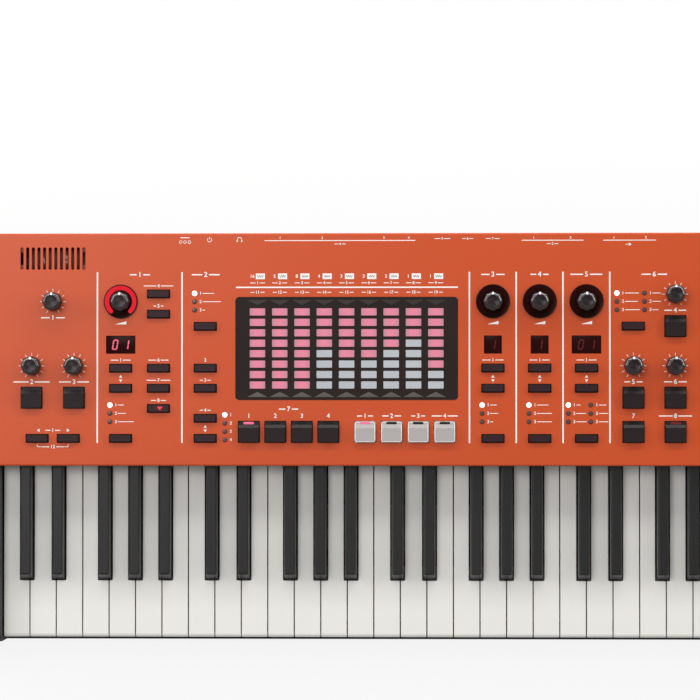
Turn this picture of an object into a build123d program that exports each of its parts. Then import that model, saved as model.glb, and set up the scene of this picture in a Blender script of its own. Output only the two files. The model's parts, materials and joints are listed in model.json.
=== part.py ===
from build123d import *

import math
import os

# A combo organ with 73 keys. Millimetres: +X is the player's right, +Y the rear and +Z up,
# and the origin is on the floor under the middle of the case.
os.makedirs("parts", exist_ok=True)

# Keyboard
octaves = 6
naturals_in_octave = 7
natural_pitch = 23.5
key_gap = 1.0
natural_length = 152.0
head_length = 50.0
natural_top = 69.0
key_thickness = 12.0
skirt_height = 22.0
skirt_thickness = 4.0
key_nose = 3.0
nose_facets = 2
key_dip = 10.0
sharp_width = 11.0
sharp_rise = 12.0
sharp_slope = 5.0
sharp_edge = 1.0
key_tail = 8.0
pivot_setback = 44.5

# Case
cheek_width = 51.0
cheek_gap = 0.75
cheek_wall = 3.0
cheek_nose = 10.0
panel_depth = 205.0
key_setback = 4.0
foot_height = 8.0
foot_radius = 13.0
foot_inset = 70.0
foot_draft = 2.0
foot_sides = 16
floor_sheet = 1.5
front_lip_gap = 1.0
rear_lip_height = 12.0
rear_plate_sheet = 1.5
rear_recess = 7.0
stand_spacing_x = 760.0
stand_spacing_y = 215.0
stand_hole = 3.2
stand_relief = 9.6
screw_radius = 3.2
screw_head = 1.6
screw_inset = 14.0

# Control panel
panel_sheet = 2.0
panel_lip = 9.0
panel_bend = 1.6
lip_clearance = 2.0
seam = 0.3

# Vent slots
vent_count = 12
vent_pitch = 4.98
vent_width = 2.8
vent_length = 19.7
vent_corner = 0.85
vent_down = 22.2

# How far apart the columns of controls stand
valve_from_end = 79.4
drive_pitch = 37.5
octave_pitch = 27.5
organ_step = 41.2
organ_second_step = 33.4
control_step = 41.3
bank_light_step = 17.2
window_side_gap = 9.5
scene_step = 21.2
scene_gap = 1.55
scene_buttons = 4
tone_gap = 10.5
electric_piano_step = 30.8
section_pitch = 41.05
effect_pitch = 36.8
light_step = 9.5
layer_light_step = 16.0
light_column_pitch = 19.7
effect_light_step = 14.4
effect_light_pitch = 24.2

# How far apart the rows of controls stand
front_small_margin = 24.2
front_square_step = 5.8
small_pitch = 17.75
small_light_gap = 14.7
bank_light_rise = 20.8
window_front_gap = 19.0
display_step = 20.7
level_step = 38.0
upper_small_step = 6.7
lower_knob_step = 2.1
knob_square_pitch = 28.1
effect_knob_step = 6.2
effect_light_rise = 29.1

# Square buttons
square_cap = 18.4
square_fit = 0.5
square_rise = 4.2
square_ledge = 4.6
square_ledge_drop = 2.0
square_front_drop = 0.8

# Small buttons
small_long = 19.5
small_short = 6.9
small_fit = 0.5
small_rise = 2.6
small_edge = 0.8

# What every button has below the panel
button_flange = 1.2
button_travel = 1.2

# Knobs and their potentiometers
knob_sides = 8
knob_radius = 8.4
knob_cap = 6.2
knob_height = 15.0
knob_bevel = 2.4
knob_dish = 0.7
knob_lift = 0.7
shaft_radius = 3.0
bushing_wall = 1.2
bushing_drop = 1.5
pot_long = 12.0
pot_wide = 10.0
pot_height = 6.5

# Collars round the level knobs
collar_sides = 20
collar_radius = 15.0
collar_height = 2.2
collar_floor = 0.9
collar_rim = 0.9
collar_clearance = 0.5

# Touch window and displays
window_long = 195.6
window_high = 90.4
window_corner = 3.5
window_fit = 0.2
window_proud = 0.4
window_ledge = 3.0
window_ledge_sheet = 1.4
bar_columns = 9
bar_pitch = 19.62
bar_width = 13.6
bar_length = 72.0
display_long_two = 25.6
display_long_one = 15.4
display_high = 15.6
display_gap = 0.8

# Indicator lights
light_sides = 6
light_radius = 1.9
light_fit = 0.2
light_pitch = 7.35
light_proud = 0.5
light_depth = 3.0
choice_lights = 3
bank_lights = 4

# Boards and what stands on them
board_sheet = 1.6
board_drop = 12.4
panel_board_margin = 17.6
panel_board_rear = 36.0
panel_board_front_margin = 13.0
main_board_long = 360.0
main_board_deep = 90.0
main_board_rise = 12.0
main_board_setback = 30.0
switch_size = 6.0
switch_height = 4.3
valve_board_drop = 20.4
valve_long = 46.0
valve_wide = 16.7
valve_glass = 5.0
valve_board_margin = 2.0
post_size = 5.0

# Keybed
bed_sheet = 3.0
bed_setback = 12.0
rail_wall = 2.0
rail_top_width = 15.0
stop_distance = 135.0
contact_distance = 80.0
contact_width = 40.0
contact_strip = 4.6
contact_taper = 20.0
felt_thickness = 3.0
stop_clearance = 0.3
ridge_width = 8.0
ridge_height = 8.0

# Sockets
socket_height = 46.0
bore_sides = 12
bushing_sides = 8
nut_sides = 6
pin_sides = 6
usb_wall = 0.6
usb_depth = 12.0
usb_proud = 0.8
usb_tongue = 9.0
usb_tongue_gap = 1.0
usb_host_long = 13.2
usb_host_high = 5.8
usb_host_tongue = 2.0
usb_device_long = 12.0
usb_device_high = 10.8
usb_device_tongue = 3.4
supply_long = 13.0
supply_high = 10.0
supply_bore = 3.1
supply_pin = 1.05
supply_depth = 10.0
supply_body = 12.0
jack_radius = 3.25
jack_depth = 26.0
jack_body = 15.0
jack_nut = 6.6
jack_bushing = 4.6
jack_bushing_reach = 2.4
xlr_flange_wide = 26.0
xlr_flange_high = 31.0
xlr_flange_sheet = 2.0
xlr_cavity = 9.4
xlr_shell = 11.4
xlr_depth = 15.0
xlr_back = 3.0
xlr_pin = 1.2
xlr_pin_circle = 4.8
din_flange = 10.5
din_radius = 9.0
din_recess = 7.0
din_recess_depth = 1.5
din_body = 17.0
plate_fit = 0.3

# Pitch lever
lever_across = 26.0
lever_down = 250.0
lever_width = 12.0
lever_hub = 9.0
hub_sides = 20
lever_reach = 27.0
lever_thickness = 8.0
lever_drop = 12.7
lever_swing = 20.0
lever_tip_radius = 3.5
lever_slot_margin = 0.5
lever_axle = 2.5
axle_sides = 12
lever_ear = 4.0
lever_ear_wide = 10.0
running_clearance = 0.05

# Power button
power_long = 9.0
power_high = 6.0
power_proud = 3.5
power_flange = 1.2
power_body = 10.0

# Levels and edges that follow from the sizes above
naturals_in_all = naturals_in_octave * octaves + 1
octave_width = naturals_in_octave * natural_pitch
keyboard_width = naturals_in_all * natural_pitch
width = keyboard_width + 2 * (cheek_gap + cheek_width)
depth = key_setback + natural_length + panel_depth
left = -width / 2
front = -depth / 2
rear = depth / 2
panel_front = rear - panel_depth
panel_middle = rear - panel_depth / 2
key_front = front + key_setback
keyboard_left = -keyboard_width / 2
cheek_inner = width / 2 - cheek_width
floor_top = foot_height + floor_sheet
key_underside = natural_top - key_thickness
skirt_bottom = natural_top - skirt_height
sharp_top = natural_top + sharp_rise
pivot_y = panel_front + pivot_setback
cheek_top = sharp_top + lip_clearance - seam
panel_top = sharp_top + lip_clearance + panel_lip
panel_under = panel_top - panel_sheet
board_top = panel_under - board_drop + board_sheet
plate_outer = rear - rear_recess
plate_inner = plate_outer - rear_plate_sheet
button_flange_top = panel_under - seam
button_bottom = board_top + switch_height + seam + button_travel

# Below the panel every button has a foot that is wider than its hole.
square_foot = square_cap + 2 * (square_fit + button_flange)
small_foot_long = small_long + 2 * (small_fit + button_flange)
small_foot_short = small_short + 2 * (small_fit + button_flange)

# Columns of controls, as distances across from the panel's left end: each is set from the one before it
valve_column = valve_from_end
dynamics_column = valve_column + drive_pitch
volume_column = valve_column + drive_pitch / 2
octave_columns = [volume_column + way * octave_pitch / 2 for way in (-1, 1)]
organ_column = dynamics_column + organ_step
organ_light_column = organ_column - light_step
organ_second_column = organ_column + organ_second_step
control_column = organ_second_column + control_step
control_light_column = control_column - light_step
bank_light_column = control_column + bank_light_step
window_across = bank_light_column + window_side_gap + window_long / 2
scene_pitch = square_foot + scene_gap
scene_column = bank_light_column + scene_step
tone_column = scene_column + (scene_buttons - 1) * scene_pitch + square_foot + tone_gap
electric_piano_column = window_across + window_long / 2 + electric_piano_step
electric_piano_light_column = electric_piano_column - light_step
piano_column = electric_piano_column + section_pitch
piano_light_column = piano_column - light_step
layer_column = piano_column + section_pitch
layer_light_columns = (layer_column - layer_light_step, layer_column - layer_light_step + light_column_pitch)
effect_column = layer_column + section_pitch
effect_light_columns = (
    effect_column - effect_light_step,
    effect_column - effect_light_step + effect_light_pitch,
)
reverb_column = effect_column + effect_pitch

# Rows of controls, as distances down from the panel's rear edge: the front rows first, then those behind
front_small_row = panel_depth - front_small_margin
front_square_row = front_small_row - front_square_step
piano_light_row = front_small_row - small_light_gap - (choice_lights - 1) * light_pitch
middle_small_rows = (piano_light_row - small_light_gap - small_pitch, piano_light_row - small_light_gap)
sixth_small_row = middle_small_rows[1] + small_pitch
control_small_row = front_small_row - small_pitch
bank_light_row = front_small_row - bank_light_rise
window_down = front_square_row - square_cap / 2 - window_front_gap - window_high / 2
display_row = middle_small_rows[0] - display_step
level_row = display_row - level_step
upper_small_rows = (level_row - upper_small_step, level_row - upper_small_step + small_pitch)
lower_knob_row = middle_small_rows[0] - lower_knob_step
lower_square_row = lower_knob_row + knob_square_pitch
effect_knob_row = level_row - effect_knob_step
select_row = effect_knob_row + knob_square_pitch
effect_light_row = select_row - effect_light_rise

knob_places = {
    "volume_knob": (volume_column, level_row),
    "valve_drive_knob": (valve_column, lower_knob_row),
    "dynamics_knob": (dynamics_column, lower_knob_row),
    "effect_knob": (reverb_column, effect_knob_row),
    "delay_knob": (effect_column, lower_knob_row),
    "reverb_knob": (reverb_column, lower_knob_row),
}
level_places = {
    "organ_level_knob": (organ_column, level_row),
    "electric_piano_level_knob": (electric_piano_column, level_row),
    "piano_level_knob": (piano_column, level_row),
    "layer_level_knob": (layer_column, level_row),
}
square_places = {
    "valve_drive_button": (valve_column, lower_square_row),
    "dynamics_button": (dynamics_column, lower_square_row),
    "effect_button": (reverb_column, select_row),
    "delay_button": (effect_column, lower_square_row),
    "reverb_button": (reverb_column, lower_square_row),
    "equaliser_button": (effect_column, front_square_row),
    "tap_tempo_button": (reverb_column, front_square_row),
}
for number in range(scene_buttons):
    step = number * scene_pitch
    square_places[f"scene_button_{number + 1}"] = (scene_column + step, front_square_row)
    square_places[f"tone_button_{number + 1}"] = (tone_column + step, front_square_row)
piano_rows = (*middle_small_rows, front_small_row)
small_places = {
    "octave_buttons": [(column, front_small_row) for column in octave_columns],
    "organ_buttons": [(organ_column, row) for row in piano_rows]
    + [(organ_second_column, row) for row in (*upper_small_rows, *middle_small_rows, sixth_small_row)],
    "control_buttons": [
        (control_column, row) for row in (select_row, *middle_small_rows, control_small_row, front_small_row)
    ],
    "electric_piano_buttons": [(electric_piano_column, row) for row in piano_rows],
    "piano_buttons": [(piano_column, row) for row in piano_rows],
    "layer_buttons": [(layer_column, row) for row in piano_rows],
    "effect_select_button": [(effect_column, select_row)],
}
display_places = [
    (organ_column, display_long_two),
    (electric_piano_column, display_long_one),
    (piano_column, display_long_one),
    (layer_column, display_long_two),
]
front_light_columns = (
    organ_light_column,
    electric_piano_light_column,
    piano_light_column,
    *layer_light_columns,
)
light_columns = [
    (bank_light_column, bank_light_row, bank_lights),
    *[(column, piano_light_row, choice_lights) for column in front_light_columns],
    *[(column, effect_light_row, choice_lights) for column in (control_light_column, *effect_light_columns)],
]
jack_columns = (262.7, 390.0, 411.8, 441.3, 463.4, 485.6)
xlr_columns = (298.6, 335.7)
din_columns = (521.8, 554.4)
usb_host_column = 592.2
usb_device_column = 620.5
supply_column = 214.5
power_column = 236.2


def spot(place):
    """The plan position of a control from its distances across and down."""
    across, down = place
    return (left + across, rear - down)


def spots(places):
    return [spot(place) for place in places]


def across_plate(column):
    """Where a socket stands on the rear plate, as X and Z."""
    return (left + column, socket_height)


def facing_rear(y):
    """An upright plane at y, with X across and Z up; extruding by a negative amount goes rearwards."""
    return Plane.XZ.offset(-y)


all_knobs = [*knob_places.values(), *level_places.values()]
all_small = [place for places in small_places.values() for place in places]
light_places = [
    (across, down + step * light_pitch) for across, down, count in light_columns for step in range(count)
]

# One vent slot, with its four corners taken off.
with BuildSketch() as vent_slot:
    Rectangle(vent_width, vent_length)
    chamfer(vent_slot.vertices(), length=vent_corner)

# Top panel: one painted sheet, folded down on all four sides and pierced for every control.
knob_hole = shaft_radius + bushing_wall
with BuildPart() as top_panel:
    with BuildSketch(Plane.XY.offset(panel_top)):
        with Locations((0, panel_middle)):
            Rectangle(width, panel_depth)
    extrude(amount=-panel_lip)
    fillet(top_panel.edges().group_by(Axis.Z)[-1], radius=panel_bend)
    with BuildSketch(Plane.XY.offset(panel_under)):
        with Locations((0, panel_middle)):
            Rectangle(width - 2 * panel_sheet, panel_depth - 2 * panel_sheet)
    extrude(amount=-panel_lip, mode=Mode.SUBTRACT)
    with BuildSketch(Plane.XY.offset(panel_top)):
        with Locations(spot((volume_column, vent_down))):
            with GridLocations(vent_pitch, 1, vent_count, 1):
                add(vent_slot.sketch)
        with Locations(*spots(all_knobs)):
            RegularPolygon(knob_hole, knob_sides)
        with Locations(*spots(square_places.values())):
            Rectangle(square_cap + 2 * square_fit, square_cap + 2 * square_fit)
        with Locations(*spots(all_small)):
            Rectangle(small_long + 2 * small_fit, small_short + 2 * small_fit)
        with Locations(*spots(light_places)):
            RegularPolygon(light_radius + light_fit, light_sides)
        for column, long in display_places:
            with Locations(spot((column, display_row))):
                Rectangle(long + 2 * window_fit, display_high + 2 * window_fit)
        with Locations(spot((window_across, window_down))):
            RectangleRounded(window_long + 2 * window_fit, window_high + 2 * window_fit, window_corner)
    extrude(amount=-panel_sheet, mode=Mode.SUBTRACT)
top_panel.part.label = "top_panel"
export_step(top_panel.part, "parts/top_panel.step")

# Bottom case: a floor sheet with a tall fold in front of the keys and a low one behind.
front_lip_top = skirt_bottom - key_dip - front_lip_gap
with BuildPart() as bottom_case:
    with BuildSketch(Plane.XY.offset(foot_height)):
        with Locations((0, (front + plate_outer) / 2)):
            Rectangle(width, plate_outer - front)
        with GridLocations(stand_spacing_x, stand_spacing_y, 2, 2):
            Circle(stand_hole, mode=Mode.SUBTRACT)
    extrude(amount=floor_sheet)
    with BuildSketch(Plane.XY.offset(floor_top)):
        with Locations((0, front + floor_sheet / 2)):
            Rectangle(2 * cheek_inner - 2 * seam, floor_sheet)
    extrude(amount=front_lip_top - floor_top)
    with BuildSketch(Plane.XY.offset(floor_top)):
        with Locations((0, plate_inner - floor_sheet / 2)):
            Rectangle(2 * cheek_inner, floor_sheet)
    extrude(amount=rear_lip_height)
bottom_case.part.label = "bottom_case"
export_step(bottom_case.part, "parts/bottom_case.step")


def cheek_shell(side):
    """One end moulding: a hollow block beside the keys, running back as a wall under the panel."""
    block_rear = panel_front + panel_sheet + cheek_wall
    height = cheek_top - floor_top
    with BuildPart() as shell:
        with BuildSketch(Plane.XY.offset(floor_top)):
            with Locations((side * (width / 2 - cheek_width / 2), (front + block_rear) / 2)):
                Rectangle(cheek_width, block_rear - front)
        extrude(amount=height)
        nose = shell.edges().filter_by(Axis.X).group_by(Axis.Y)[0].sort_by(Axis.Z)[-1]
        fillet(nose, radius=cheek_nose)
        with BuildSketch(Plane.XY.offset(floor_top)):
            with Locations((side * (width / 2 - cheek_width / 2), (front + block_rear) / 2)):
                Rectangle(cheek_width - 2 * cheek_wall, block_rear - front - 2 * cheek_wall)
        extrude(amount=height - cheek_nose, mode=Mode.SUBTRACT)
        with BuildSketch(Plane.XY.offset(floor_top)):
            with Locations((side * (width - cheek_wall) / 2, (block_rear + rear) / 2)):
                Rectangle(cheek_wall, rear - block_rear)
        extrude(amount=height)
    return shell.part


# Pitch lever: a paddle on a round hub, which turns on a short axle between two ears in the left cheek.
lever_x = left + lever_across
lever_y = rear - lever_down
lever_z = cheek_top - lever_drop
with BuildPart() as pitch_lever:
    with BuildSketch(Plane.YZ.offset(lever_x - lever_width / 2)):
        with Locations((lever_y, lever_z)):
            RegularPolygon(lever_hub, hub_sides)
        with Locations((lever_y, lever_z + lever_reach / 2)):
            Rectangle(lever_thickness, lever_reach)
    extrude(amount=lever_width)
    tip = pitch_lever.edges().filter_by(Axis.X).group_by(Axis.Z)[-1]
    fillet(tip, radius=lever_tip_radius)
    with BuildSketch(Plane.YZ.offset(lever_x - lever_width / 2 - seam - lever_ear)):
        with Locations((lever_y, lever_z)):
            RegularPolygon(lever_axle, axle_sides)
    extrude(amount=lever_width + 2 * (seam + lever_ear))
pitch_lever.part.label = "pitch_lever"
export_step(pitch_lever.part, "parts/pitch_lever.step")

# Left cheek: the end moulding with the lever's slot in its top and the two ears under it.
slot_swing = (lever_drop + cheek_wall) * math.tan(math.radians(lever_swing))
swung_half = lever_thickness / 2 / math.cos(math.radians(lever_swing))
slot_length = 2 * (swung_half + slot_swing + 2 * lever_slot_margin)
ear_offset = lever_width / 2 + seam + lever_ear / 2
ear_height = lever_drop - cheek_nose + lever_ear_wide / 2
ear_bore = (lever_axle + running_clearance) / math.cos(math.pi / axle_sides)
left_shell = cheek_shell(-1)
with BuildPart() as left_cheek:
    add(left_shell)
    with BuildSketch(Plane.XY.offset(cheek_top)):
        with Locations((lever_x, lever_y)):
            Rectangle(lever_width + 2 * (seam + lever_slot_margin), slot_length)
    extrude(amount=-cheek_nose, mode=Mode.SUBTRACT)
    for way in (-1, 1):
        with BuildSketch(Plane.YZ.offset(lever_x + way * ear_offset - lever_ear / 2)):
            with Locations((lever_y, cheek_top - cheek_nose)):
                Rectangle(lever_ear_wide, ear_height, align=(Align.CENTER, Align.MAX))
            with Locations((lever_y, lever_z)):
                RegularPolygon(ear_bore, axle_sides, mode=Mode.SUBTRACT)
        extrude(amount=lever_ear)
left_cheek.part.label = "left_cheek"
export_step(left_cheek.part, "parts/left_cheek.step")

# Right cheek: the same moulding, plain.
right_shell = cheek_shell(1)
with BuildPart() as right_cheek:
    add(right_shell)
right_cheek.part.label = "right_cheek"
export_step(right_cheek.part, "parts/right_cheek.step")

# Rear plate: an upright sheet set in from the rear edge, cut out for the sockets.
jack_hole = jack_bushing + plate_fit
with BuildPart() as rear_plate:
    with BuildSketch(facing_rear(plate_outer)):
        with Locations((0, (floor_top + panel_under) / 2)):
            Rectangle(width - 2 * cheek_wall - 2 * seam, panel_under - floor_top - 2 * seam)
        with Locations(*[across_plate(column) for column in jack_columns]):
            RegularPolygon(jack_hole, bushing_sides, mode=Mode.SUBTRACT)
        with Locations(*[across_plate(column) for column in xlr_columns]):
            RegularPolygon(xlr_shell + plate_fit, bore_sides, mode=Mode.SUBTRACT)
        with Locations(*[across_plate(column) for column in din_columns]):
            RegularPolygon(din_radius + plate_fit, bushing_sides, mode=Mode.SUBTRACT)
        with Locations(across_plate(usb_host_column)):
            Rectangle(usb_host_long + 2 * plate_fit, usb_host_high + 2 * plate_fit, mode=Mode.SUBTRACT)
        with Locations(across_plate(usb_device_column)):
            Rectangle(usb_device_long + 2 * plate_fit, usb_device_high + 2 * plate_fit, mode=Mode.SUBTRACT)
        with Locations(across_plate(supply_column)):
            Rectangle(supply_long + 2 * plate_fit, supply_high + 2 * plate_fit, mode=Mode.SUBTRACT)
        with Locations(across_plate(power_column)):
            Rectangle(power_long + 2 * small_fit, power_high + 2 * small_fit, mode=Mode.SUBTRACT)
    extrude(amount=rear_plate_sheet)
rear_plate.part.label = "rear_plate"
export_step(rear_plate.part, "parts/rear_plate.step")


def on_panel(place, height=0.0):
    """A level plane over a control's place, at a height."""
    return Plane(origin=(*spot(place), height))


def across_panel(place, half_width):
    """An upright plane at the left side of a control, with Y across it and Z up."""
    x, y = spot(place)
    return Plane(origin=(x - half_width, y, 0), x_dir=(0, 1, 0), z_dir=(1, 0, 0))


# Every button's foot reaches from just under the panel down to its switch.
foot_drop = button_flange_top - button_bottom

# Square buttons: a rear ledge for the light window, a ridge in front of it and a face that falls gently.
square_half = square_cap / 2
square_ridge = panel_top + square_rise
ledge_front = square_half - square_ledge
for name, place in square_places.items():
    with BuildPart() as square_button:
        with BuildSketch(on_panel(place, button_flange_top)):
            Rectangle(square_foot, square_foot)
        extrude(amount=-foot_drop)
        with BuildSketch(across_panel(place, square_half)):
            with BuildLine():
                Polyline(
                    (-square_half, button_flange_top),
                    (-square_half, square_ridge - 2 * square_front_drop),
                    (-square_half + square_front_drop, square_ridge - square_front_drop),
                    (ledge_front - 2 * square_front_drop, square_ridge),
                    (ledge_front - square_front_drop, square_ridge),
                    (ledge_front, square_ridge - square_ledge_drop),
                    (square_half, square_ridge - square_ledge_drop - square_front_drop),
                    (square_half, button_flange_top),
                    close=True,
                )
            make_face()
        extrude(amount=square_cap)
    square_button.part.label = name
    export_step(square_button.part, f"parts/{name}.step")

# Small buttons: oblong caps with a bevel all round, grouped by the section that they serve.
for name, places in small_places.items():
    with BuildPart() as small_buttons:
        with BuildSketch(Plane.XY.offset(button_flange_top)):
            with Locations(*spots(places)):
                Rectangle(small_foot_long, small_foot_short)
        extrude(amount=-foot_drop)
        with BuildSketch(Plane.XY.offset(button_flange_top)):
            with Locations(*spots(places)):
                Rectangle(small_long, small_short)
        extrude(amount=panel_top + small_rise - button_flange_top)
        chamfer(small_buttons.edges().group_by(Axis.Z)[-1], length=small_edge)
    small_buttons.part.label = name
    export_step(small_buttons.part, f"parts/{name}.step")

# Knobs: an eight-sided skirt, a steep bevel, a dished cap and the shaft below.
knob_top = panel_top + knob_height
skirt_base = panel_top + knob_lift
bushing_top = panel_under - bushing_drop
bevel_in = (knob_radius - knob_cap) * math.cos(math.pi / knob_sides)
for name, place in (knob_places | level_places).items():
    with BuildPart() as knob:
        with BuildSketch(on_panel(place, skirt_base)):
            RegularPolygon(knob_radius, knob_sides)
        extrude(amount=knob_top - skirt_base)
        cap = knob.faces().sort_by(Axis.Z)[-1]
        chamfer(cap.edges(), length=bevel_in, length2=knob_bevel, reference=cap)
        with BuildSketch(on_panel(place, knob_top)):
            RegularPolygon(knob_cap - knob_dish, knob_sides)
        extrude(amount=-knob_dish, mode=Mode.SUBTRACT)
        with BuildSketch(on_panel(place, skirt_base)):
            RegularPolygon(shaft_radius, knob_sides)
        extrude(amount=bushing_top + seam - skirt_base)
    knob.part.label = name
    export_step(knob.part, f"parts/{name}.step")

# Potentiometers: a block on the board, with the bushing that its knob's shaft comes out of.
with BuildPart() as potentiometers:
    with BuildSketch(Plane.XY.offset(board_top)):
        with Locations(*spots(all_knobs)):
            Rectangle(pot_wide, pot_long)
    extrude(amount=pot_height)
    with BuildSketch(Plane.XY.offset(board_top + pot_height)):
        with Locations(*spots(all_knobs)):
            RegularPolygon(shaft_radius + bushing_wall, knob_sides)
    extrude(amount=bushing_top - board_top - pot_height)
potentiometers.part.label = "potentiometers"
export_step(potentiometers.part, "parts/potentiometers.step")

# Level collars: a black ring on the panel, dished from its rim down to the knob that stands in it.
collar_bore = knob_radius + collar_clearance
collar_dish = (collar_radius - collar_rim - collar_bore) * math.cos(math.pi / collar_sides)
with BuildPart() as level_collars:
    with BuildSketch(Plane.XY.offset(panel_top)):
        with Locations(*spots(level_places.values())):
            RegularPolygon(collar_radius, collar_sides)
            RegularPolygon(collar_bore, collar_sides, mode=Mode.SUBTRACT)
    extrude(amount=collar_height)
    for rim in level_collars.faces().group_by(Axis.Z)[-1]:
        bore_edges = rim.inner_wires()[0].edges()
        chamfer(bore_edges, length=collar_dish, length2=collar_height - collar_floor, reference=rim)
level_collars.part.label = "level_collars"
export_step(level_collars.part, "parts/level_collars.step")

# Push switches: one on the board under each button.
with BuildPart() as push_switches:
    with BuildSketch(Plane.XY.offset(board_top)):
        with Locations(*spots([*square_places.values(), *all_small])):
            Rectangle(switch_size, switch_size)
    extrude(amount=switch_height)
push_switches.part.label = "push_switches"
export_step(push_switches.part, "parts/push_switches.step")

# Touch window: a smoked plate, a little proud of the panel, on a wider ledge under the panel.
window_place = (window_across, window_down)
with BuildPart() as touch_window:
    with BuildSketch(on_panel(window_place, panel_under)):
        Rectangle(window_long + 2 * window_ledge, window_high + 2 * window_ledge)
    extrude(amount=-window_ledge_sheet)
    with BuildSketch(on_panel(window_place, panel_under)):
        RectangleRounded(window_long, window_high, window_corner)
    extrude(amount=panel_sheet + window_proud)
touch_window.part.label = "touch_window"
export_step(touch_window.part, "parts/touch_window.step")

# Display windows: four red filters, level with the panel, on ledges like the touch window's.
with BuildPart() as display_windows:
    for column, long in display_places:
        place = (column, display_row)
        with BuildSketch(on_panel(place, panel_under)):
            Rectangle(long + 2 * window_ledge, display_high + 2 * window_ledge)
        extrude(amount=-window_ledge_sheet)
        with BuildSketch(on_panel(place, panel_under)):
            Rectangle(long, display_high)
        extrude(amount=panel_sheet)
display_windows.part.label = "display_windows"
export_step(display_windows.part, "parts/display_windows.step")

# Number displays and bar displays: light modules that stand on the board behind the windows.
module_top = panel_under - window_ledge_sheet - seam
with BuildPart() as light_modules:
    with BuildSketch(Plane.XY.offset(board_top)):
        for column, long in display_places:
            with Locations(spot((column, display_row))):
                Rectangle(long - display_gap, display_high - display_gap)
        with Locations(spot(window_place)):
            with GridLocations(bar_pitch, 1, bar_columns, 1):
                Rectangle(bar_width, bar_length)
    extrude(amount=module_top - board_top)
light_modules.part.label = "light_modules"
export_step(light_modules.part, "parts/light_modules.step")

# Indicator lights: short clear pipes that stand in the panel's small holes.
with BuildPart() as indicator_lights:
    with BuildSketch(Plane.XY.offset(panel_top + light_proud)):
        with Locations(*spots(light_places)):
            RegularPolygon(light_radius, light_sides)
    extrude(amount=-light_proud - panel_sheet - light_depth)
indicator_lights.part.label = "indicator_lights"
export_step(indicator_lights.part, "parts/indicator_lights.step")

# Keybed: a long drawn section with a stop rail, a shelf for the contact board and a pivot ridge.
stop_y = pivot_y - stop_distance
contact_y = pivot_y - contact_distance
dip_slope = key_dip / (pivot_y - key_front)
felt_top = key_underside - stop_distance * dip_slope - stop_clearance
contact_top = key_underside - contact_distance * dip_slope - stop_clearance
shelf_top = contact_top - contact_strip - board_sheet
bed_front = key_front + bed_setback
bed_rear = pivot_y + ridge_width
with BuildPart() as keybed_frame:
    with BuildSketch(Plane.YZ.offset(keyboard_left)):
        with Locations((bed_front, floor_top)):
            Rectangle(bed_rear - bed_front, bed_sheet, align=Align.MIN)
            Rectangle(rail_wall, front_lip_top - floor_top, align=Align.MIN)
        with Locations((stop_y, floor_top)):
            Rectangle(rail_top_width, felt_top - felt_thickness - floor_top, align=Align.MIN)
        with Locations((stop_y + rail_wall, floor_top + bed_sheet)):
            Rectangle(
                rail_top_width - 2 * rail_wall,
                felt_top - felt_thickness - floor_top - bed_sheet - rail_wall,
                align=Align.MIN,
                mode=Mode.SUBTRACT,
            )
        with Locations((contact_y, floor_top), (contact_y + contact_width - rail_wall, floor_top)):
            Rectangle(rail_wall, shelf_top - floor_top, align=Align.MIN)
        with BuildLine():
            Polyline(
                (pivot_y - ridge_width / 2, floor_top),
                (pivot_y - ridge_width / 2, key_underside - seam - ridge_height),
                (pivot_y, key_underside - seam),
                (pivot_y + ridge_width / 2, key_underside - seam - ridge_height),
                (pivot_y + ridge_width / 2, floor_top),
                close=True,
            )
        make_face()
    extrude(amount=keyboard_width)
    with BuildSketch(Plane.XY.offset(floor_top)):
        with GridLocations(stand_spacing_x, stand_spacing_y, 2, 2):
            Rectangle(stand_relief, stand_relief)
    extrude(amount=bed_sheet, mode=Mode.SUBTRACT)
keybed_frame.part.label = "keybed_frame"
export_step(keybed_frame.part, "parts/keybed_frame.step")

# Felts: one long strip on the stop rail, which the keys land on.
with BuildPart() as key_felts:
    with BuildSketch(Plane.XY.offset(felt_top - felt_thickness)):
        with Locations((0, stop_y + rail_top_width / 2)):
            Rectangle(keyboard_width, rail_top_width)
    extrude(amount=felt_thickness)
key_felts.part.label = "key_felts"
export_step(key_felts.part, "parts/key_felts.step")

# Circuit boards: the panel board, the contact board with its rubber strip and the main board on posts.
main_board_y = plate_inner - main_board_setback - main_board_deep / 2
panel_board_left = valve_column - panel_board_margin
panel_board_long = reverb_column + panel_board_margin - panel_board_left
panel_board_front = panel_depth - panel_board_front_margin
panel_board_deep = panel_board_front - panel_board_rear
with BuildPart() as circuit_boards:
    with BuildSketch(Plane.XY.offset(board_top - board_sheet)):
        with Locations((left + panel_board_left, rear - panel_board_front)):
            Rectangle(panel_board_long, panel_board_deep, align=Align.MIN)
    extrude(amount=board_sheet)
    with BuildSketch(Plane.XY.offset(shelf_top)):
        with Locations((0, contact_y + contact_width / 2)):
            Rectangle(keyboard_width, contact_width)
    extrude(amount=board_sheet)
    with BuildSketch(Plane.XY.offset(shelf_top + board_sheet)):
        with Locations((0, contact_y + contact_width / 2)):
            Rectangle(keyboard_width, contact_width / 2)
    extrude(amount=contact_strip, taper=contact_taper)
    with BuildSketch(Plane.XY.offset(floor_top)):
        with Locations((0, main_board_y)):
            with GridLocations(main_board_long - 2 * post_size, main_board_deep - 2 * post_size, 2, 2):
                Rectangle(post_size, post_size)
    extrude(amount=main_board_rise)
    with BuildSketch(Plane.XY.offset(floor_top + main_board_rise)):
        with Locations((0, main_board_y)):
            Rectangle(main_board_long, main_board_deep)
    extrude(amount=board_sheet)
circuit_boards.part.label = "circuit_boards"
export_step(circuit_boards.part, "parts/circuit_boards.step")

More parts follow.
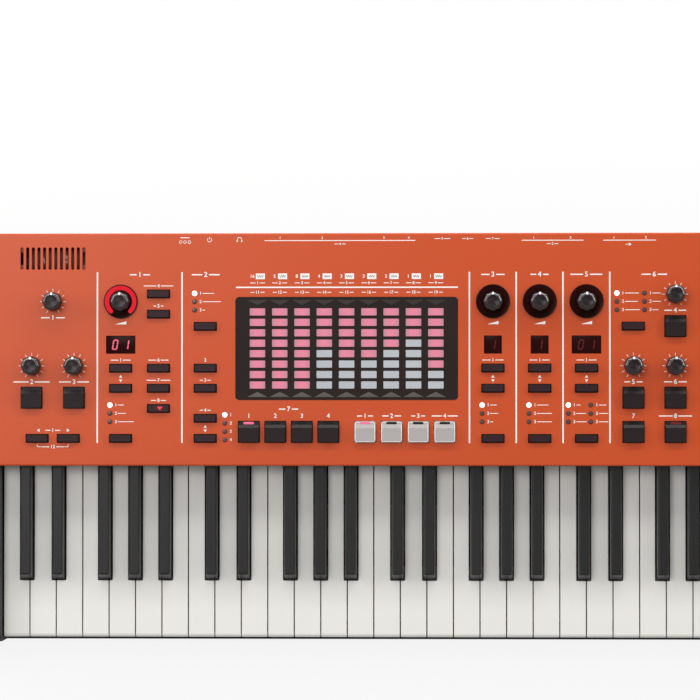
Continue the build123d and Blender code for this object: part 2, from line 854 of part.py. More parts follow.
# Valve module: a flat glass valve on a small board, which hangs on four posts under the vent slots.
valve_board_top = panel_under - valve_board_drop + board_sheet
valve_post_x = valve_long + 2 * post_size
valve_post_y = valve_wide + 2 * valve_board_margin - post_size
valve_place = (volume_column, vent_down)
with BuildPart() as valve_module:
    with BuildSketch(on_panel(valve_place, valve_board_top)):
        Rectangle(valve_post_x + post_size, valve_post_y + post_size)
    extrude(amount=-board_sheet)
    with BuildSketch(on_panel(valve_place, valve_board_top)):
        Rectangle(valve_long, valve_wide)
    extrude(amount=valve_glass)
    with BuildSketch(on_panel(valve_place, valve_board_top)):
        with GridLocations(valve_post_x, valve_post_y, 2, 2):
            Rectangle(post_size, post_size)
    extrude(amount=panel_under - valve_board_top)
valve_module.part.label = "valve_module"
export_step(valve_module.part, "parts/valve_module.step")

# Keys. An octave's five sharps stand evenly among its key tails: two over C to E, three over F to B.
three_tails = 3 * natural_pitch / 5
four_tails = 4 * natural_pitch / 7
sharp_centres = [(tail + 0.5) * three_tails for tail in (1, 3)]
sharp_centres += [3 * natural_pitch + (tail + 0.5) * four_tails for tail in (1, 3, 5)]
tail_margin = sharp_width / 2 + key_gap
key_rear = pivot_y + key_tail


def key_outline(number):
    """The plan of one natural: a wide head, and a tail that leaves room for the sharps beside it."""
    octave_left = keyboard_left + (number // naturals_in_octave) * octave_width
    key_left = keyboard_left + number * natural_pitch + key_gap / 2
    key_right = key_left + natural_pitch - key_gap
    tail_left = key_left
    tail_right = key_right
    for centre in sharp_centres:
        sharp_x = octave_left + centre
        is_last_key = number == naturals_in_all - 1
        if key_left - natural_pitch / 2 < sharp_x < key_left + natural_pitch / 2:
            tail_left = max(tail_left, sharp_x + tail_margin)
        if key_right - natural_pitch / 2 < sharp_x < key_right + natural_pitch / 2 and not is_last_key:
            tail_right = min(tail_right, sharp_x - tail_margin)
    head_rear = key_front + head_length
    return [
        (key_left, key_front),
        (key_right, key_front),
        (key_right, head_rear),
        (tail_right, head_rear),
        (tail_right, key_rear),
        (tail_left, key_rear),
        (tail_left, head_rear),
        (key_left, head_rear),
    ]


def without_repeats(points):
    """The outline's corners, each once, where a tail is as wide as its head."""
    corners = []
    for point in points:
        if point not in corners:
            corners.append(point)
    return corners


# What the rounding takes off a natural's top front edge, in facets.
nose_turns = [90 * step / nose_facets for step in range(nose_facets + 1)]
nose_corners = [
    (
        key_front + key_nose * (1 - math.cos(math.radians(turn))),
        natural_top - key_nose * (1 - math.sin(math.radians(turn))),
    )
    for turn in nose_turns
]
nose_corners.append((key_front, natural_top))

bands = {
    "low": range(0, 2),
    "middle": range(2, 4),
    "high": range(4, octaves),
}
for band, band_octaves in bands.items():
    first = naturals_in_octave * band_octaves.start
    last = naturals_in_octave * band_octaves.stop
    if band_octaves.stop == octaves:
        last = naturals_in_all

    # Naturals: square fronts that hang down over the case, rounded along the top edge.
    with BuildPart() as naturals:
        with BuildSketch(Plane.XY.offset(skirt_bottom)):
            for number in range(first, last):
                with BuildLine():
                    Polyline(*without_repeats(key_outline(number)), close=True)
                make_face()
        extrude(amount=skirt_height)
        with BuildSketch(Plane.XY.offset(skirt_bottom)):
            with Locations((keyboard_left, key_front + skirt_thickness)):
                Rectangle(keyboard_width, key_rear - key_front, align=Align.MIN)
        extrude(amount=skirt_height - key_thickness, mode=Mode.SUBTRACT)
        with BuildSketch(Plane.YZ.offset(keyboard_left)):
            with BuildLine():
                Polyline(*nose_corners, close=True)
            make_face()
        extrude(amount=keyboard_width, mode=Mode.SUBTRACT)
    naturals.part.label = f"naturals_{band}"
    export_step(naturals.part, f"parts/naturals_{band}.step")

    # Sharps: narrow keys with a sloping front, which end under the panel's front fold.
    sharp_front = key_front + head_length + key_gap
    sharp_rear = panel_front + panel_sheet + 2 * lip_clearance
    with BuildPart() as sharps:
        with BuildSketch(Plane.XY.offset(key_underside)):
            for octave in band_octaves:
                for centre in sharp_centres:
                    x = keyboard_left + octave * octave_width + centre
                    with Locations((x, sharp_front)):
                        Rectangle(sharp_width, key_rear - sharp_front, align=(Align.CENTER, Align.MIN))
        extrude(amount=sharp_top - key_underside)
        with BuildSketch(Plane.XY.offset(natural_top)):
            with Locations((keyboard_left, sharp_rear)):
                Rectangle(keyboard_width, key_rear - sharp_rear, align=Align.MIN)
        extrude(amount=sharp_rise, mode=Mode.SUBTRACT)
        with BuildSketch(Plane.YZ.offset(keyboard_left)):
            with BuildLine():
                Polyline(
                    (sharp_front, natural_top),
                    (sharp_front, sharp_top),
                    (sharp_front + sharp_slope, sharp_top),
                    close=True,
                )
            make_face()
        extrude(amount=keyboard_width, mode=Mode.SUBTRACT)
        chamfer(sharps.edges().filter_by(Axis.Y).group_by(Axis.Z)[-1], length=sharp_edge)
    sharps.part.label = f"sharps_{band}"
    export_step(sharps.part, f"parts/sharps_{band}.step")

# Jack sockets: a moulded body behind the plate, a bushing through it and a hexagonal nut outside.
with BuildPart() as jack_sockets:
    for column in jack_columns:
        with BuildSketch(facing_rear(plate_inner)):
            with Locations(across_plate(column)):
                Rectangle(jack_body, jack_body)
        extrude(amount=jack_depth)
        with BuildSketch(facing_rear(plate_inner)):
            with Locations(across_plate(column)):
                RegularPolygon(jack_bushing, bushing_sides)
        extrude(amount=-rear_plate_sheet - jack_bushing_reach)
        with BuildSketch(facing_rear(plate_outer)):
            with Locations(across_plate(column)):
                RegularPolygon(jack_nut, nut_sides)
        extrude(amount=-jack_bushing_reach)
        with BuildSketch(facing_rear(plate_outer + jack_bushing_reach)):
            with Locations(across_plate(column)):
                RegularPolygon(jack_radius, bore_sides)
        extrude(amount=jack_depth, mode=Mode.SUBTRACT)
jack_sockets.part.label = "jack_sockets"
export_step(jack_sockets.part, "parts/jack_sockets.step")

# Other sockets: two balanced outputs with three pins each, two round data sockets, two flat ones and
# the supply inlet.
with BuildPart() as rear_sockets:
    for column in xlr_columns:
        x, z = across_plate(column)
        with BuildSketch(facing_rear(plate_outer)):
            with Locations((x, z)):
                Rectangle(xlr_flange_wide, xlr_flange_high)
        extrude(amount=-xlr_flange_sheet)
        with BuildSketch(facing_rear(plate_outer)):
            with Locations((x, z)):
                RegularPolygon(xlr_shell, bore_sides)
        extrude(amount=xlr_depth + xlr_back - xlr_flange_sheet)
        with BuildSketch(facing_rear(plate_outer + xlr_flange_sheet)):
            with Locations((x, z)):
                RegularPolygon(xlr_cavity, bore_sides)
            with Locations((x, z)):
                with PolarLocations(xlr_pin_circle, 3, start_angle=90):
                    RegularPolygon(xlr_pin, pin_sides, mode=Mode.SUBTRACT)
        extrude(amount=xlr_depth, mode=Mode.SUBTRACT)
    for column in din_columns:
        with BuildSketch(facing_rear(plate_outer + din_recess_depth)):
            with Locations(across_plate(column)):
                RegularPolygon(din_flange, bore_sides)
                RegularPolygon(din_recess, bore_sides, mode=Mode.SUBTRACT)
        extrude(amount=din_recess_depth)
        with BuildSketch(facing_rear(plate_outer)):
            with Locations(across_plate(column)):
                RegularPolygon(din_radius, bushing_sides)
        extrude(amount=din_body)
    for column, long, high, tongue in (
        (usb_host_column, usb_host_long, usb_host_high, usb_host_tongue),
        (usb_device_column, usb_device_long, usb_device_high, usb_device_tongue),
    ):
        with BuildSketch(facing_rear(plate_outer + usb_proud)):
            with Locations(across_plate(column)):
                Rectangle(long, high)
        extrude(amount=usb_proud + usb_depth)
        with BuildSketch(facing_rear(plate_outer + usb_proud)):
            with Locations(across_plate(column)):
                Rectangle(long - 2 * usb_wall, high - 2 * usb_wall)
                Rectangle(long - 2 * (usb_wall + usb_tongue_gap), tongue, mode=Mode.SUBTRACT)
        extrude(amount=usb_tongue, mode=Mode.SUBTRACT)
    with BuildSketch(facing_rear(plate_outer + usb_proud)):
        with Locations(across_plate(supply_column)):
            Rectangle(supply_long, supply_high)
    extrude(amount=supply_body)
    with BuildSketch(facing_rear(plate_outer + usb_proud)):
        with Locations(across_plate(supply_column)):
            RegularPolygon(supply_bore, bore_sides)
            RegularPolygon(supply_pin, pin_sides, mode=Mode.SUBTRACT)
    extrude(amount=supply_depth, mode=Mode.SUBTRACT)
rear_sockets.part.label = "rear_sockets"
export_step(rear_sockets.part, "parts/rear_sockets.step")

# Power button: an oblong push button in the rear plate, kept in by a flange behind it.
power_rim = 2 * (small_fit + power_flange)
with BuildPart() as power_button:
    with BuildSketch(facing_rear(plate_outer + power_proud)):
        with Locations(across_plate(power_column)):
            Rectangle(power_long, power_high)
    extrude(amount=power_proud + rear_plate_sheet + seam)
    with BuildSketch(facing_rear(plate_inner - seam)):
        with Locations(across_plate(power_column)):
            Rectangle(power_long + power_rim, power_high + power_rim)
    extrude(amount=power_body)
power_button.part.label = "power_button"
export_step(power_button.part, "parts/power_button.step")

# Feet: four rubber feet that narrow towards the floor.
foot_x = width / 2 - foot_inset
foot_y = depth / 2 - foot_inset / 2
with BuildPart() as feet:
    for x in (-foot_x, foot_x):
        for y in (-foot_y, foot_y):
            with BuildSketch(Plane((x, y, foot_height))):
                RegularPolygon(foot_radius, foot_sides)
            with BuildSketch(Plane((x, y, 0))):
                RegularPolygon(foot_radius - foot_draft, foot_sides)
            loft(ruled=True)
feet.part.label = "feet"
export_step(feet.part, "parts/feet.step")

# Case screws: flat heads under the floor sheet, near the feet and along both long edges.
screw_x = width / 2 - 2 * foot_inset
screw_y = depth / 2 - screw_inset
with BuildPart() as case_screws:
    with BuildSketch(Plane.XY.offset(foot_height)):
        with GridLocations(screw_x, 2 * screw_y, 3, 2):
            RegularPolygon(screw_radius, bushing_sides)
    extrude(amount=-screw_head)
case_screws.part.label = "case_screws"
export_step(case_screws.part, "parts/case_screws.step")
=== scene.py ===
import json
import math

import bmesh
import bpy
from mathutils import Matrix, Vector


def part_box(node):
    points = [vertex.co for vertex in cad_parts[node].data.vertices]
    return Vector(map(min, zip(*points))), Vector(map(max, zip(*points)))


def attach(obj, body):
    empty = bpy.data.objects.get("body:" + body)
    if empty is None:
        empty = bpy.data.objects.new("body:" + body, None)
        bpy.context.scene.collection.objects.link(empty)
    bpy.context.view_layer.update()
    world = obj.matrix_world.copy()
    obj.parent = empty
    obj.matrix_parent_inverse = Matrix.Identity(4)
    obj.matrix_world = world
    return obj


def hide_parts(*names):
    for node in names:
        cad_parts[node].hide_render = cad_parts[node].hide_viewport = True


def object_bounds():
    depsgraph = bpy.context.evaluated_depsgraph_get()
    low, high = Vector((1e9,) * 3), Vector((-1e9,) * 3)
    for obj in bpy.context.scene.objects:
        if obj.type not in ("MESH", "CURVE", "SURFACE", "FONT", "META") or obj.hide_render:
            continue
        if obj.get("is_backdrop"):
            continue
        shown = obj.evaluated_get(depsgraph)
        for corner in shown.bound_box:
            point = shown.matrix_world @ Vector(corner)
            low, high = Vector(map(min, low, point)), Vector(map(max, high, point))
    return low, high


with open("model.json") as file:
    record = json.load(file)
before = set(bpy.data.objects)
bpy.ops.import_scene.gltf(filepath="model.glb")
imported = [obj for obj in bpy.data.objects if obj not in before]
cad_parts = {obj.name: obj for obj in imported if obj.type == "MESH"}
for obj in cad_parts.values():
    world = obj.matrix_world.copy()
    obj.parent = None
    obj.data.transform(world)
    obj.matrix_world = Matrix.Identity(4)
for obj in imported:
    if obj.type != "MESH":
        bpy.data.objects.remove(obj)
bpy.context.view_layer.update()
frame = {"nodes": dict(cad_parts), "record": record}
mm = 0.001


# The tray is 1.5 mm sheet steel, folded up at the front and rear, and a second folded sheet
# carries the sockets behind. Both are powder-coated black with a fine, sandy texture, and
# their cut edges are broken before coating.
class Wire:
    """An output in a material. Sums on it add Math nodes, and make() adds any other node."""

    def __init__(self, tree, output):
        self.tree = tree
        self.output = output

    def make(self, kind, settings, inputs, output=0):
        node = self.tree.nodes.new(kind)
        stops = settings.pop("stops", [])
        for name, value in settings.items():
            setattr(node, name, value)
        for position, shade in stops:
            element = node.color_ramp.elements.new(position)
            element.color = shade
        for name, value in inputs.items():
            if isinstance(value, Wire):
                self.tree.links.new(value.output, node.inputs[name])
            else:
                node.inputs[name].default_value = value
        return Wire(self.tree, node.outputs[output])

    def sum(self, operation, first, second):
        return self.make("ShaderNodeMath", {"operation": operation}, {0: first, 1: second})

    def __add__(self, other):
        return self.sum("ADD", self, other)

    __radd__ = __add__

    def __mul__(self, other):
        return self.sum("MULTIPLY", self, other)

    __rmul__ = __mul__

    def __sub__(self, other):
        return self.sum("SUBTRACT", self, other)

    def __rsub__(self, other):
        return self.sum("SUBTRACT", other, self)

    def __truediv__(self, other):
        return self.sum("DIVIDE", self, other)

    def __rtruediv__(self, other):
        return self.sum("DIVIDE", other, self)

    def __gt__(self, other):
        return self.sum("GREATER_THAN", self, other)

    def __lt__(self, other):
        return self.sum("LESS_THAN", self, other)

    def __abs__(self):
        return self.sum("ABSOLUTE", self, 0.0)

    def parts(self):
        """The three coordinates of a vector."""
        apart = self.make("ShaderNodeSeparateXYZ", {}, {"Vector": self})
        return [Wire(self.tree, output) for output in apart.output.node.outputs]

    def noise(self, size, detail=2.0, stretch=(1, 1, 1)):
        """Cloudy noise from 0 to 1, with patches about size mm across, drawn out along an axis by stretch."""
        at = self.make("ShaderNodeVectorMath", {"operation": "DIVIDE"}, {0: self, 1: stretch})
        return at.make("ShaderNodeTexNoise", {}, {"Vector": at, "Scale": 1 / (size * mm), "Detail": detail})

    def mix(self, low, high):
        """The colour low where this value is 0, and high where it is 1."""
        return self.make("ShaderNodeMix", {"data_type": "RGBA"}, {0: self, 6: low, 7: high}, 2)

    def relief(self, depth):
        """A normal from this value taken as a height, which is depth mm high at 1."""
        return self.make("ShaderNodeBump", {}, {"Strength": 1.0, "Distance": depth * mm, "Height": self})


def colour(red, green, blue):
    """A colour as the shaders take it, from the 0 to 255 of a colour card."""
    parts = [part / 255 for part in (red, green, blue)]
    return (*[part / 12.92 if part < 0.04 else ((part + 0.055) / 1.055) ** 2.4 for part in parts], 1.0)


def finish(name, dress, **constants):
    """A material. dress takes the object's own coordinates and returns what feeds the shader's sockets."""
    material = bpy.data.materials.new(name)
    material.use_nodes = True
    tree = material.node_tree
    shader = tree.nodes["Principled BSDF"]
    for socket, value in constants.items():
        shader.inputs[socket.replace("_", " ").title().replace("Ior", "IOR")].default_value = value
    at = Wire(tree, tree.nodes.new("ShaderNodeTexCoord").outputs["Object"])
    for socket, value in dress(at).items():
        tree.links.new(value.output, shader.inputs[socket])
    return material


def moulded(name, light, dark, grain, depth, gloss, spread=0.06, **constants):
    """Paint or plastic: two close shades in soft clouds, a grain of that size and depth in mm, and uneven gloss."""

    def dress(at):
        clouds = at.noise(60.0, 3.0)
        pits = at.noise(grain, 3.0)
        return {
            "Base Color": clouds.mix(dark, light),
            "Roughness": clouds * spread + pits * spread + (gloss - spread),
            "Normal": pits.relief(depth),
        }

    return finish(name, dress, **constants)


body_of = {}
for body, members in frame["record"]["behaviour"]["bodies"].items():
    body_of.update({node: body for node in members})


def piece(name, form, material, node, stands_for=(), at=(0, 0, 0), sharp=35):
    """A mesh that rides with a CAD node's body, wears its finish and stands for the nodes named."""
    mesh = bpy.data.meshes.new(name)
    bmesh.ops.recalc_face_normals(form, faces=form.faces)
    form.to_mesh(mesh)
    form.free()
    mesh.shade_smooth()
    if sharp:
        mesh.set_sharp_from_angle(angle=math.radians(sharp))
    mesh.materials.append(material)
    solid = bpy.data.objects.new(name, mesh)
    solid.location = Vector(at) * mm
    bpy.context.scene.collection.objects.link(solid)
    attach(solid, body_of[node])
    if stands_for:
        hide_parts(*stands_for)
    return solid


def break_edges(solid, radius, steps=2, rim=None):
    """Rounds every edge of a piece that turns by more than 30 degrees. rim is a material for those edges alone."""
    bevel = solid.modifiers.new("broken edges", "BEVEL")
    bevel.width = radius * mm
    bevel.segments = steps
    bevel.limit_method = "ANGLE"
    bevel.angle_limit = math.radians(30)
    bevel.harden_normals = True
    if rim:
        solid.data.materials.append(rim)
        bevel.material = 1
    return solid


def whole(node):
    """The CAD piece's own solid, with its split corners joined and its flat faces in one."""
    form = bmesh.new()
    form.from_mesh(frame["nodes"][node].data)
    bmesh.ops.remove_doubles(form, verts=form.verts, dist=0.001 * mm)
    bmesh.ops.dissolve_limit(form, angle_limit=math.radians(1), verts=form.verts, edges=form.edges)
    for layer in list(form.loops.layers.uv):
        form.loops.layers.uv.remove(layer)
    return form


def softened(name, node, material, radius, steps=2, flat=False):
    """The CAD piece's own solid with its edges rounded, which stands for it; flat is for pierced sheets."""
    solid = break_edges(piece(name, whole(node), material, node, [node], sharp=0), radius, steps)
    if flat:
        solid.data.shade_flat()
        solid.modifiers[0].harden_normals = False
    return solid


powder_coat = moulded("powder coat", colour(38, 38, 40), colour(30, 30, 32), 0.5, 0.12, 0.55)
softened("folded_tray", "bottom_case", powder_coat, 0.4, flat=True)
softened("socket_plate", "rear_plate", powder_coat, 0.3, flat=True)


# The feet are turned black rubber, domed a little underneath, and each is pressed into the
# tray. The screws that close the case are black pan heads with a six-sided socket.
def circle(radius, sides=48):
    return [(radius * math.cos(k * math.tau / sides), radius * math.sin(k * math.tau / sides)) for k in range(sides)]


def level(outline, height, place=(0, 0)):
    """The points of a flat outline at a height, in mm."""
    return [Vector((x + place[0], y + place[1], height)) * mm for x, y in outline]


def skin(form, rings, closed=False):
    """Faces from each ring of points to the next. The end rings are filled, or joined if it is closed."""
    loops = [[form.verts.new(point) for point in ring] for ring in rings]
    pairs = list(zip(loops, loops[1:]))
    if closed:
        pairs.append((loops[-1], loops[0]))
    else:
        form.faces.new(loops[0])
        form.faces.new(loops[-1])
    for low, high in pairs:
        for k in range(len(low)):
            form.faces.new((low[k - 1], low[k], high[k], high[k - 1]))


def turned(form, profile, place=(0, 0), sides=48, closed=False):
    """A turned solid about an upright axis, from (radius, height) pairs in mm."""
    skin(form, [level(circle(radius, sides), height, place) for radius, height in profile], closed)


def loose(node):
    """Each separate solid of a CAD node as its lowest and highest corner in mm, from left to right."""
    form = whole(node)
    unseen = set(form.verts)
    boxes = []
    while unseen:
        reached = [unseen.pop()]
        for vertex in reached:
            for edge in vertex.link_edges:
                other = edge.other_vert(vertex)
                if other in unseen:
                    unseen.remove(other)
                    reached.append(other)
        points = [vertex.co / mm for vertex in reached]
        boxes.append(tuple(Vector([pick(p[axis] for p in points) for axis in range(3)]) for pick in (min, max)))
    form.free()
    return sorted(boxes, key=lambda box: (round(box[0].x), round(box[0].y)))


def middle(box):
    return (box[0] + box[1]) / 2


rubber = moulded("foot rubber", colour(34, 34, 34), colour(26, 26, 26), 0.4, 0.08, 0.75)
foot_edge = 1.5
feet = bmesh.new()
for low, high in loose("feet"):
    centre = (low + high) / 2
    radius = (high.x - low.x) / 2
    taper = radius - 2.0
    turned(feet, [(taper - foot_edge, low.z), (taper - 0.4, low.z + 0.4), (taper, low.z + foot_edge),
                  (radius - 0.5, high.z - 0.8), (radius - 0.2, high.z)], centre[:2])
piece("rubber_feet", feet, rubber, "feet", ["feet"])

zinc = moulded("black zinc", colour(62, 62, 64), colour(44, 44, 46), 0.3, 0.01, 0.42, metallic=0.85)
screw_dome = 0.35
socket_depth = 1.0
screws = bmesh.new()
for low, high in loose("case_screws"):
    centre = (low + high) / 2
    radius = (high.x - low.x) / 2
    socket = radius * 0.45
    turned(screws, [(radius, high.z), (radius, low.z + screw_dome), (radius - screw_dome, low.z + 0.05),
                    (socket + 0.2, low.z), (socket, low.z + 0.15)], centre[:2], 6 * 8)
piece("pan_head_screws", screws, zinc, "case_screws", ["case_screws"])


# The cheeks are hollow black mouldings with a leathery grain, screwed to the tray from
# below. Their long edges are well rounded, and the left one has the lever's slot.
def grained(name, light, dark, cell, depth, gloss, **constants):
    """Moulded plastic with a leathery grain of raised cells, about cell mm across."""

    def dress(at):
        cells = at.make("ShaderNodeTexVoronoi", {"feature": "SMOOTH_F1"}, {"Vector": at, "Scale": 1 / (cell * mm)})
        clouds = at.noise(45.0, 4.0)
        return {
            "Base Color": clouds.mix(dark, light),
            "Roughness": clouds * 0.12 + cells * 0.1 + (gloss - 0.1),
            "Normal": (1 - cells).relief(depth),
        }

    return finish(name, dress, **constants)


cheek_moulding = grained("cheek moulding", colour(36, 36, 37), colour(28, 28, 29), 0.9, 0.08, 0.5)
softened("left_moulding", "left_cheek", cheek_moulding, 1.5, 3)
softened("right_moulding", "right_cheek", cheek_moulding, 1.5, 3)


# The keybed is a drawn aluminium section with ridges that the keys rock on. Strips of red
# pressed felt stop the keys quietly at the top and bottom of their travel.
def drawn(name, light, dark, gloss, along=(30, 1, 1), **constants):
    """Bare or plated metal with fine lines drawn out along one axis."""

    def dress(at):
        lines = at.noise(0.6, 3.0, along)
        clouds = at.noise(40.0)
        return {
            "Base Color": lines.mix(dark, light),
            "Roughness": lines * 0.14 + clouds * 0.08 + (gloss - 0.1),
            "Normal": lines.relief(0.012),
        }

    return finish(name, dress, **constants)


drawn_aluminium = drawn("drawn aluminium", colour(200, 200, 203), colour(176, 177, 180), 0.38, metallic=1.0)
softened("keybed_section", "keybed_frame", drawn_aluminium, 0.3)


def pressed(at):
    fibres = at.noise(0.35, 6.0)
    tufts = at.noise(4.0, 3.0)
    return {
        "Base Color": (fibres * 0.6 + tufts * 0.4).mix(colour(92, 14, 18), colour(168, 38, 40)),
        "Normal": (fibres + tufts * 0.5).relief(0.25),
    }


felt = finish("red felt", pressed, roughness=0.95, sheen_weight=0.4, sheen_roughness=0.6)
softened("felt_strips", "key_felts", felt, 0.8, 3)


# Two green boards carry the controls and the sound engine. On them stand plain black
# switches, plated potentiometers and the light modules behind the windows.
def laminated(at):
    weave = at.make("ShaderNodeTexBrick", {"offset": 0.0}, {
        "Vector": at, "Scale": 1 / (2.54 * mm), "Mortar Size": 0.16, "Brick Width": 1.0, "Row Height": 0.5,
        "Color1": colour(24, 86, 44), "Color2": colour(18, 74, 38), "Mortar": colour(36, 104, 56)})
    return {"Base Color": weave, "Roughness": at.noise(8.0) * 0.15 + 0.3, "Normal": at.noise(1.2).relief(0.03)}


softened("circuit_laminates", "circuit_boards", finish("green laminate", laminated, coat_weight=0.3), 0.15)
softened("switch_bodies", "push_switches", grained("switch plastic", colour(40, 40, 42), colour(30, 30, 31), 0.5, 0.03, 0.5), 0.3)
softened("module_bodies", "light_modules", grained("module plastic", colour(58, 54, 52), colour(44, 41, 40), 0.5, 0.03, 0.5), 0.3)
plated = drawn("plated steel", colour(186, 184, 178), colour(150, 149, 145), 0.32, metallic=1.0)
softened("potentiometer_bodies", "potentiometers", plated, 0.3)


# The valve is a low flat glass module that lies on its own small board and posts under the
# vent slots. Its anodes are brown-black, but it is painted a lighter reddish brown in patches, as
# painted light for the panel's glow inside the dim slots, and two pale spots of getter show through.
valve_low, valve_high = (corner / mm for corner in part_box("valve_module"))
getters = (valve_low.x + 20.4, valve_low.x + 40.4)
getter_wide, getter_long = 1.2, 3.4


def silvered(at):
    across, up, height = at.parts()
    patches = at.noise(5.0, 4.0)
    middle_up = (valve_low.y + valve_high.y) / 2
    near = abs(up - middle_up * mm) < getter_long * mm
    spots = [(abs(across - place * mm) < getter_wide * mm) * near for place in getters]
    pale = (spots[0] + spots[1]) * (patches > 0.46)
    # Painted light: lighter reddish-brown patches stand for the panel's light inside the dim slots.
    glass = patches.mix(colour(84, 40, 30), colour(168, 92, 72))
    return {
        "Base Color": pale.mix(glass, colour(250, 246, 238)),
        "Roughness": patches * 0.2 + 0.35,
        "Normal": at.noise(3.0).relief(0.05),
    }


softened("valve_envelope", "valve_module", finish("silvered glass", silvered, specular_ior_level=0.3), 0.6, 3)


# The sockets behind are bought parts: black bodies fixed to the main board or the plate,
# with nickel-plated nuts on the jacks, and plated shells and pins in the others.
nickel = drawn("nickel plate", colour(214, 211, 203), colour(186, 183, 176), 0.24, (1, 1, 8), metallic=1.0)
softened("jack_bodies", "jack_sockets", nickel, 0.25)
softened("connector_bodies", "rear_sockets", grained("socket plastic", colour(38, 38, 40), colour(28, 28, 30), 0.6, 0.04, 0.45), 0.3)


# The naturals are moulded in white plastic with a square waterfall front, whose top edge is
# well rounded. Each is notched for the sharps beside it and pivots far back under the panel.
key_gap = 1.0
nose_radius = 3.0
key_edge = 0.45
key_body = 12.0
skirt_thickness = 4.0


def ivory(at):
    clouds = at.noise(70.0, 3.0)
    return {
        "Base Color": clouds.mix(colour(238, 236, 229), colour(244, 242, 237)),
        "Roughness": clouds * 0.08 + at.noise(2.0, 4.0) * 0.06 + 0.18,
        "Normal": at.noise(14.0).relief(0.05),
    }


white_plastic = finish("white key plastic", ivory, coat_weight=0.25, coat_roughness=0.12)
bands = ("low", "middle", "high")
sharp_boxes = [box for band in bands for box in loose(f"sharps_{band}")]


def natural_outline(low, high):
    """The key's outline from above, with a step in at each sharp that stands beside it."""
    centre = (low.x + high.x) / 2
    left_tail, right_tail, notch = low.x, high.x, high.y
    for sharp_low, sharp_high in sharp_boxes:
        if sharp_low.x < centre and sharp_high.x + key_gap > low.x:
            left_tail = sharp_high.x + key_gap
            notch = sharp_low.y - key_gap
        if sharp_high.x > centre and sharp_low.x - key_gap < high.x:
            right_tail = sharp_low.x - key_gap
            notch = sharp_low.y - key_gap
    skirt_back = low.y + skirt_thickness
    points = [(low.x, low.y), (high.x, low.y), (high.x, skirt_back)]
    if right_tail < high.x:
        points += [(high.x, notch), (right_tail, notch)]
    points += [(right_tail, high.y), (left_tail, high.y)]
    if left_tail > low.x:
        points += [(left_tail, notch), (low.x, notch)]
    return points + [(low.x, skirt_back)]


for band in bands:
    keys = bmesh.new()
    noses = []
    for low, high in loose(f"naturals_{band}"):
        outline = natural_outline(low, high)
        top, base = ([keys.verts.new(p) for p in level(outline, z)] for z in (high.z, high.z - key_body))
        skirt_top = (base[0], base[1], base[2], base[-1])
        skirt_foot = [keys.verts.new((vertex.co.x, vertex.co.y, low.z * mm)) for vertex in skirt_top]
        for face in (top, base[2:], skirt_foot):
            keys.faces.new(face)
        for lower, upper in ((base, top), (skirt_foot, skirt_top)):
            for k in range(len(lower)):
                keys.faces.new((lower[k - 1], lower[k], upper[k], upper[k - 1]))
        noses.append(keys.edges.get(top[:2]))
    bmesh.ops.bevel(keys, geom=noses, offset=nose_radius * mm, segments=7, profile=0.5, affect="EDGES")
    naturals = piece(f"white_keys_{band}", keys, white_plastic, f"naturals_{band}", [f"naturals_{band}"], sharp=0)
    break_edges(naturals, key_edge, 3)


# The sharps are separate black mouldings, narrower at the top than at the foot, with a
# sloping front and well-rounded edges, and a satin surface that fingers don't slip on.
sharp_taper = 0.9
sharp_slope = 5.0
sharp_rise = 12.0
satin_black = moulded("black key plastic", colour(30, 29, 29), colour(20, 20, 20), 0.35, 0.02, 0.34)
for band in bands:
    keys = bmesh.new()
    for low, high in loose(f"sharps_{band}"):
        foot = [(low.x, low.y), (high.x, low.y), (high.x, high.y), (low.x, high.y)]
        crown = [(low.x + sharp_taper, low.y + sharp_slope), (high.x - sharp_taper, low.y + sharp_slope),
                 (high.x - sharp_taper, high.y), (low.x + sharp_taper, high.y)]
        skin(keys, [level(foot, low.z), level(foot, high.z - sharp_rise), level(crown, high.z)])
    sharps = piece(f"black_keys_{band}", keys, satin_black, f"sharps_{band}", [f"sharps_{band}"], sharp=0)
    break_edges(sharps, 1.3, 4)


# The pitch lever is a black paddle with a rounded tip, which springs back upright. It is
# moulded in one with its hub and turns on a short axle in the left cheek.
softened("pitch_paddle", "pitch_lever", moulded("lever plastic", colour(26, 26, 27), colour(20, 20, 20), 0.4, 0.02, 0.3),
         1.0, 3)


# The control panel is one steel sheet, pierced for every control and folded down along its
# edges, then sprayed in a satin orange-red whose surface has the faint ripple of real paint.
def sprayed(at):
    clouds = at.noise(180.0, 2.0)
    ripple = at.noise(1.6, 2.0)
    dust = at.noise(0.5, 2.0)
    return {
        "Base Color": clouds.mix(colour(200, 76, 30), colour(205, 80, 34)),
        "Roughness": ripple * 0.06 + dust * 0.06 + 0.29,
        "Normal": (ripple * 0.7 + dust * 0.3).relief(0.02),
    }


paint = finish("orange-red paint", sprayed, specular_ior_level=0.4)
softened("painted_panel", "top_panel", paint, 0.25, flat=True)
panel_low, panel_high = (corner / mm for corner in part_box("top_panel"))
panel_top = panel_high.z
panel_rear = panel_high.y


# The legends are screen-printed on the panel in white, so they lie a little above the paint.
# Rules part the sections, and plain numbers, ticks, arrows and dashes stand for the settings.
def centre(node):
    low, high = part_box(node)
    return (low + high) / 2 / mm


def bar(start, end, width):
    """The outline of a straight stroke of ink."""
    start, end = Vector(start), Vector(end)
    along = (end - start).normalized() * width / 2
    across = Vector((-along.y, along.x))
    return [start - across, end - across, end + across, start + across]


ink_base = panel_top - 0.02
ink_top = panel_top + 0.05
ink, grey_ink = bmesh.new(), bmesh.new()


def print_on(outline, form=ink, base=ink_base, top=ink_top):
    skin(form, [level(outline, base), level(outline, top)])


def arc(place, radius, width, start=0, stop=360):
    """A curved stroke of ink about a place, between two directions in degrees from straight back."""
    stride = 15
    for turn in range(start, stop, stride):
        ends = [Vector(place) + radius * Vector((math.sin(math.radians(way)), math.cos(math.radians(way))))
                for way in (turn, turn + stride)]
        print_on(bar(*ends, width))


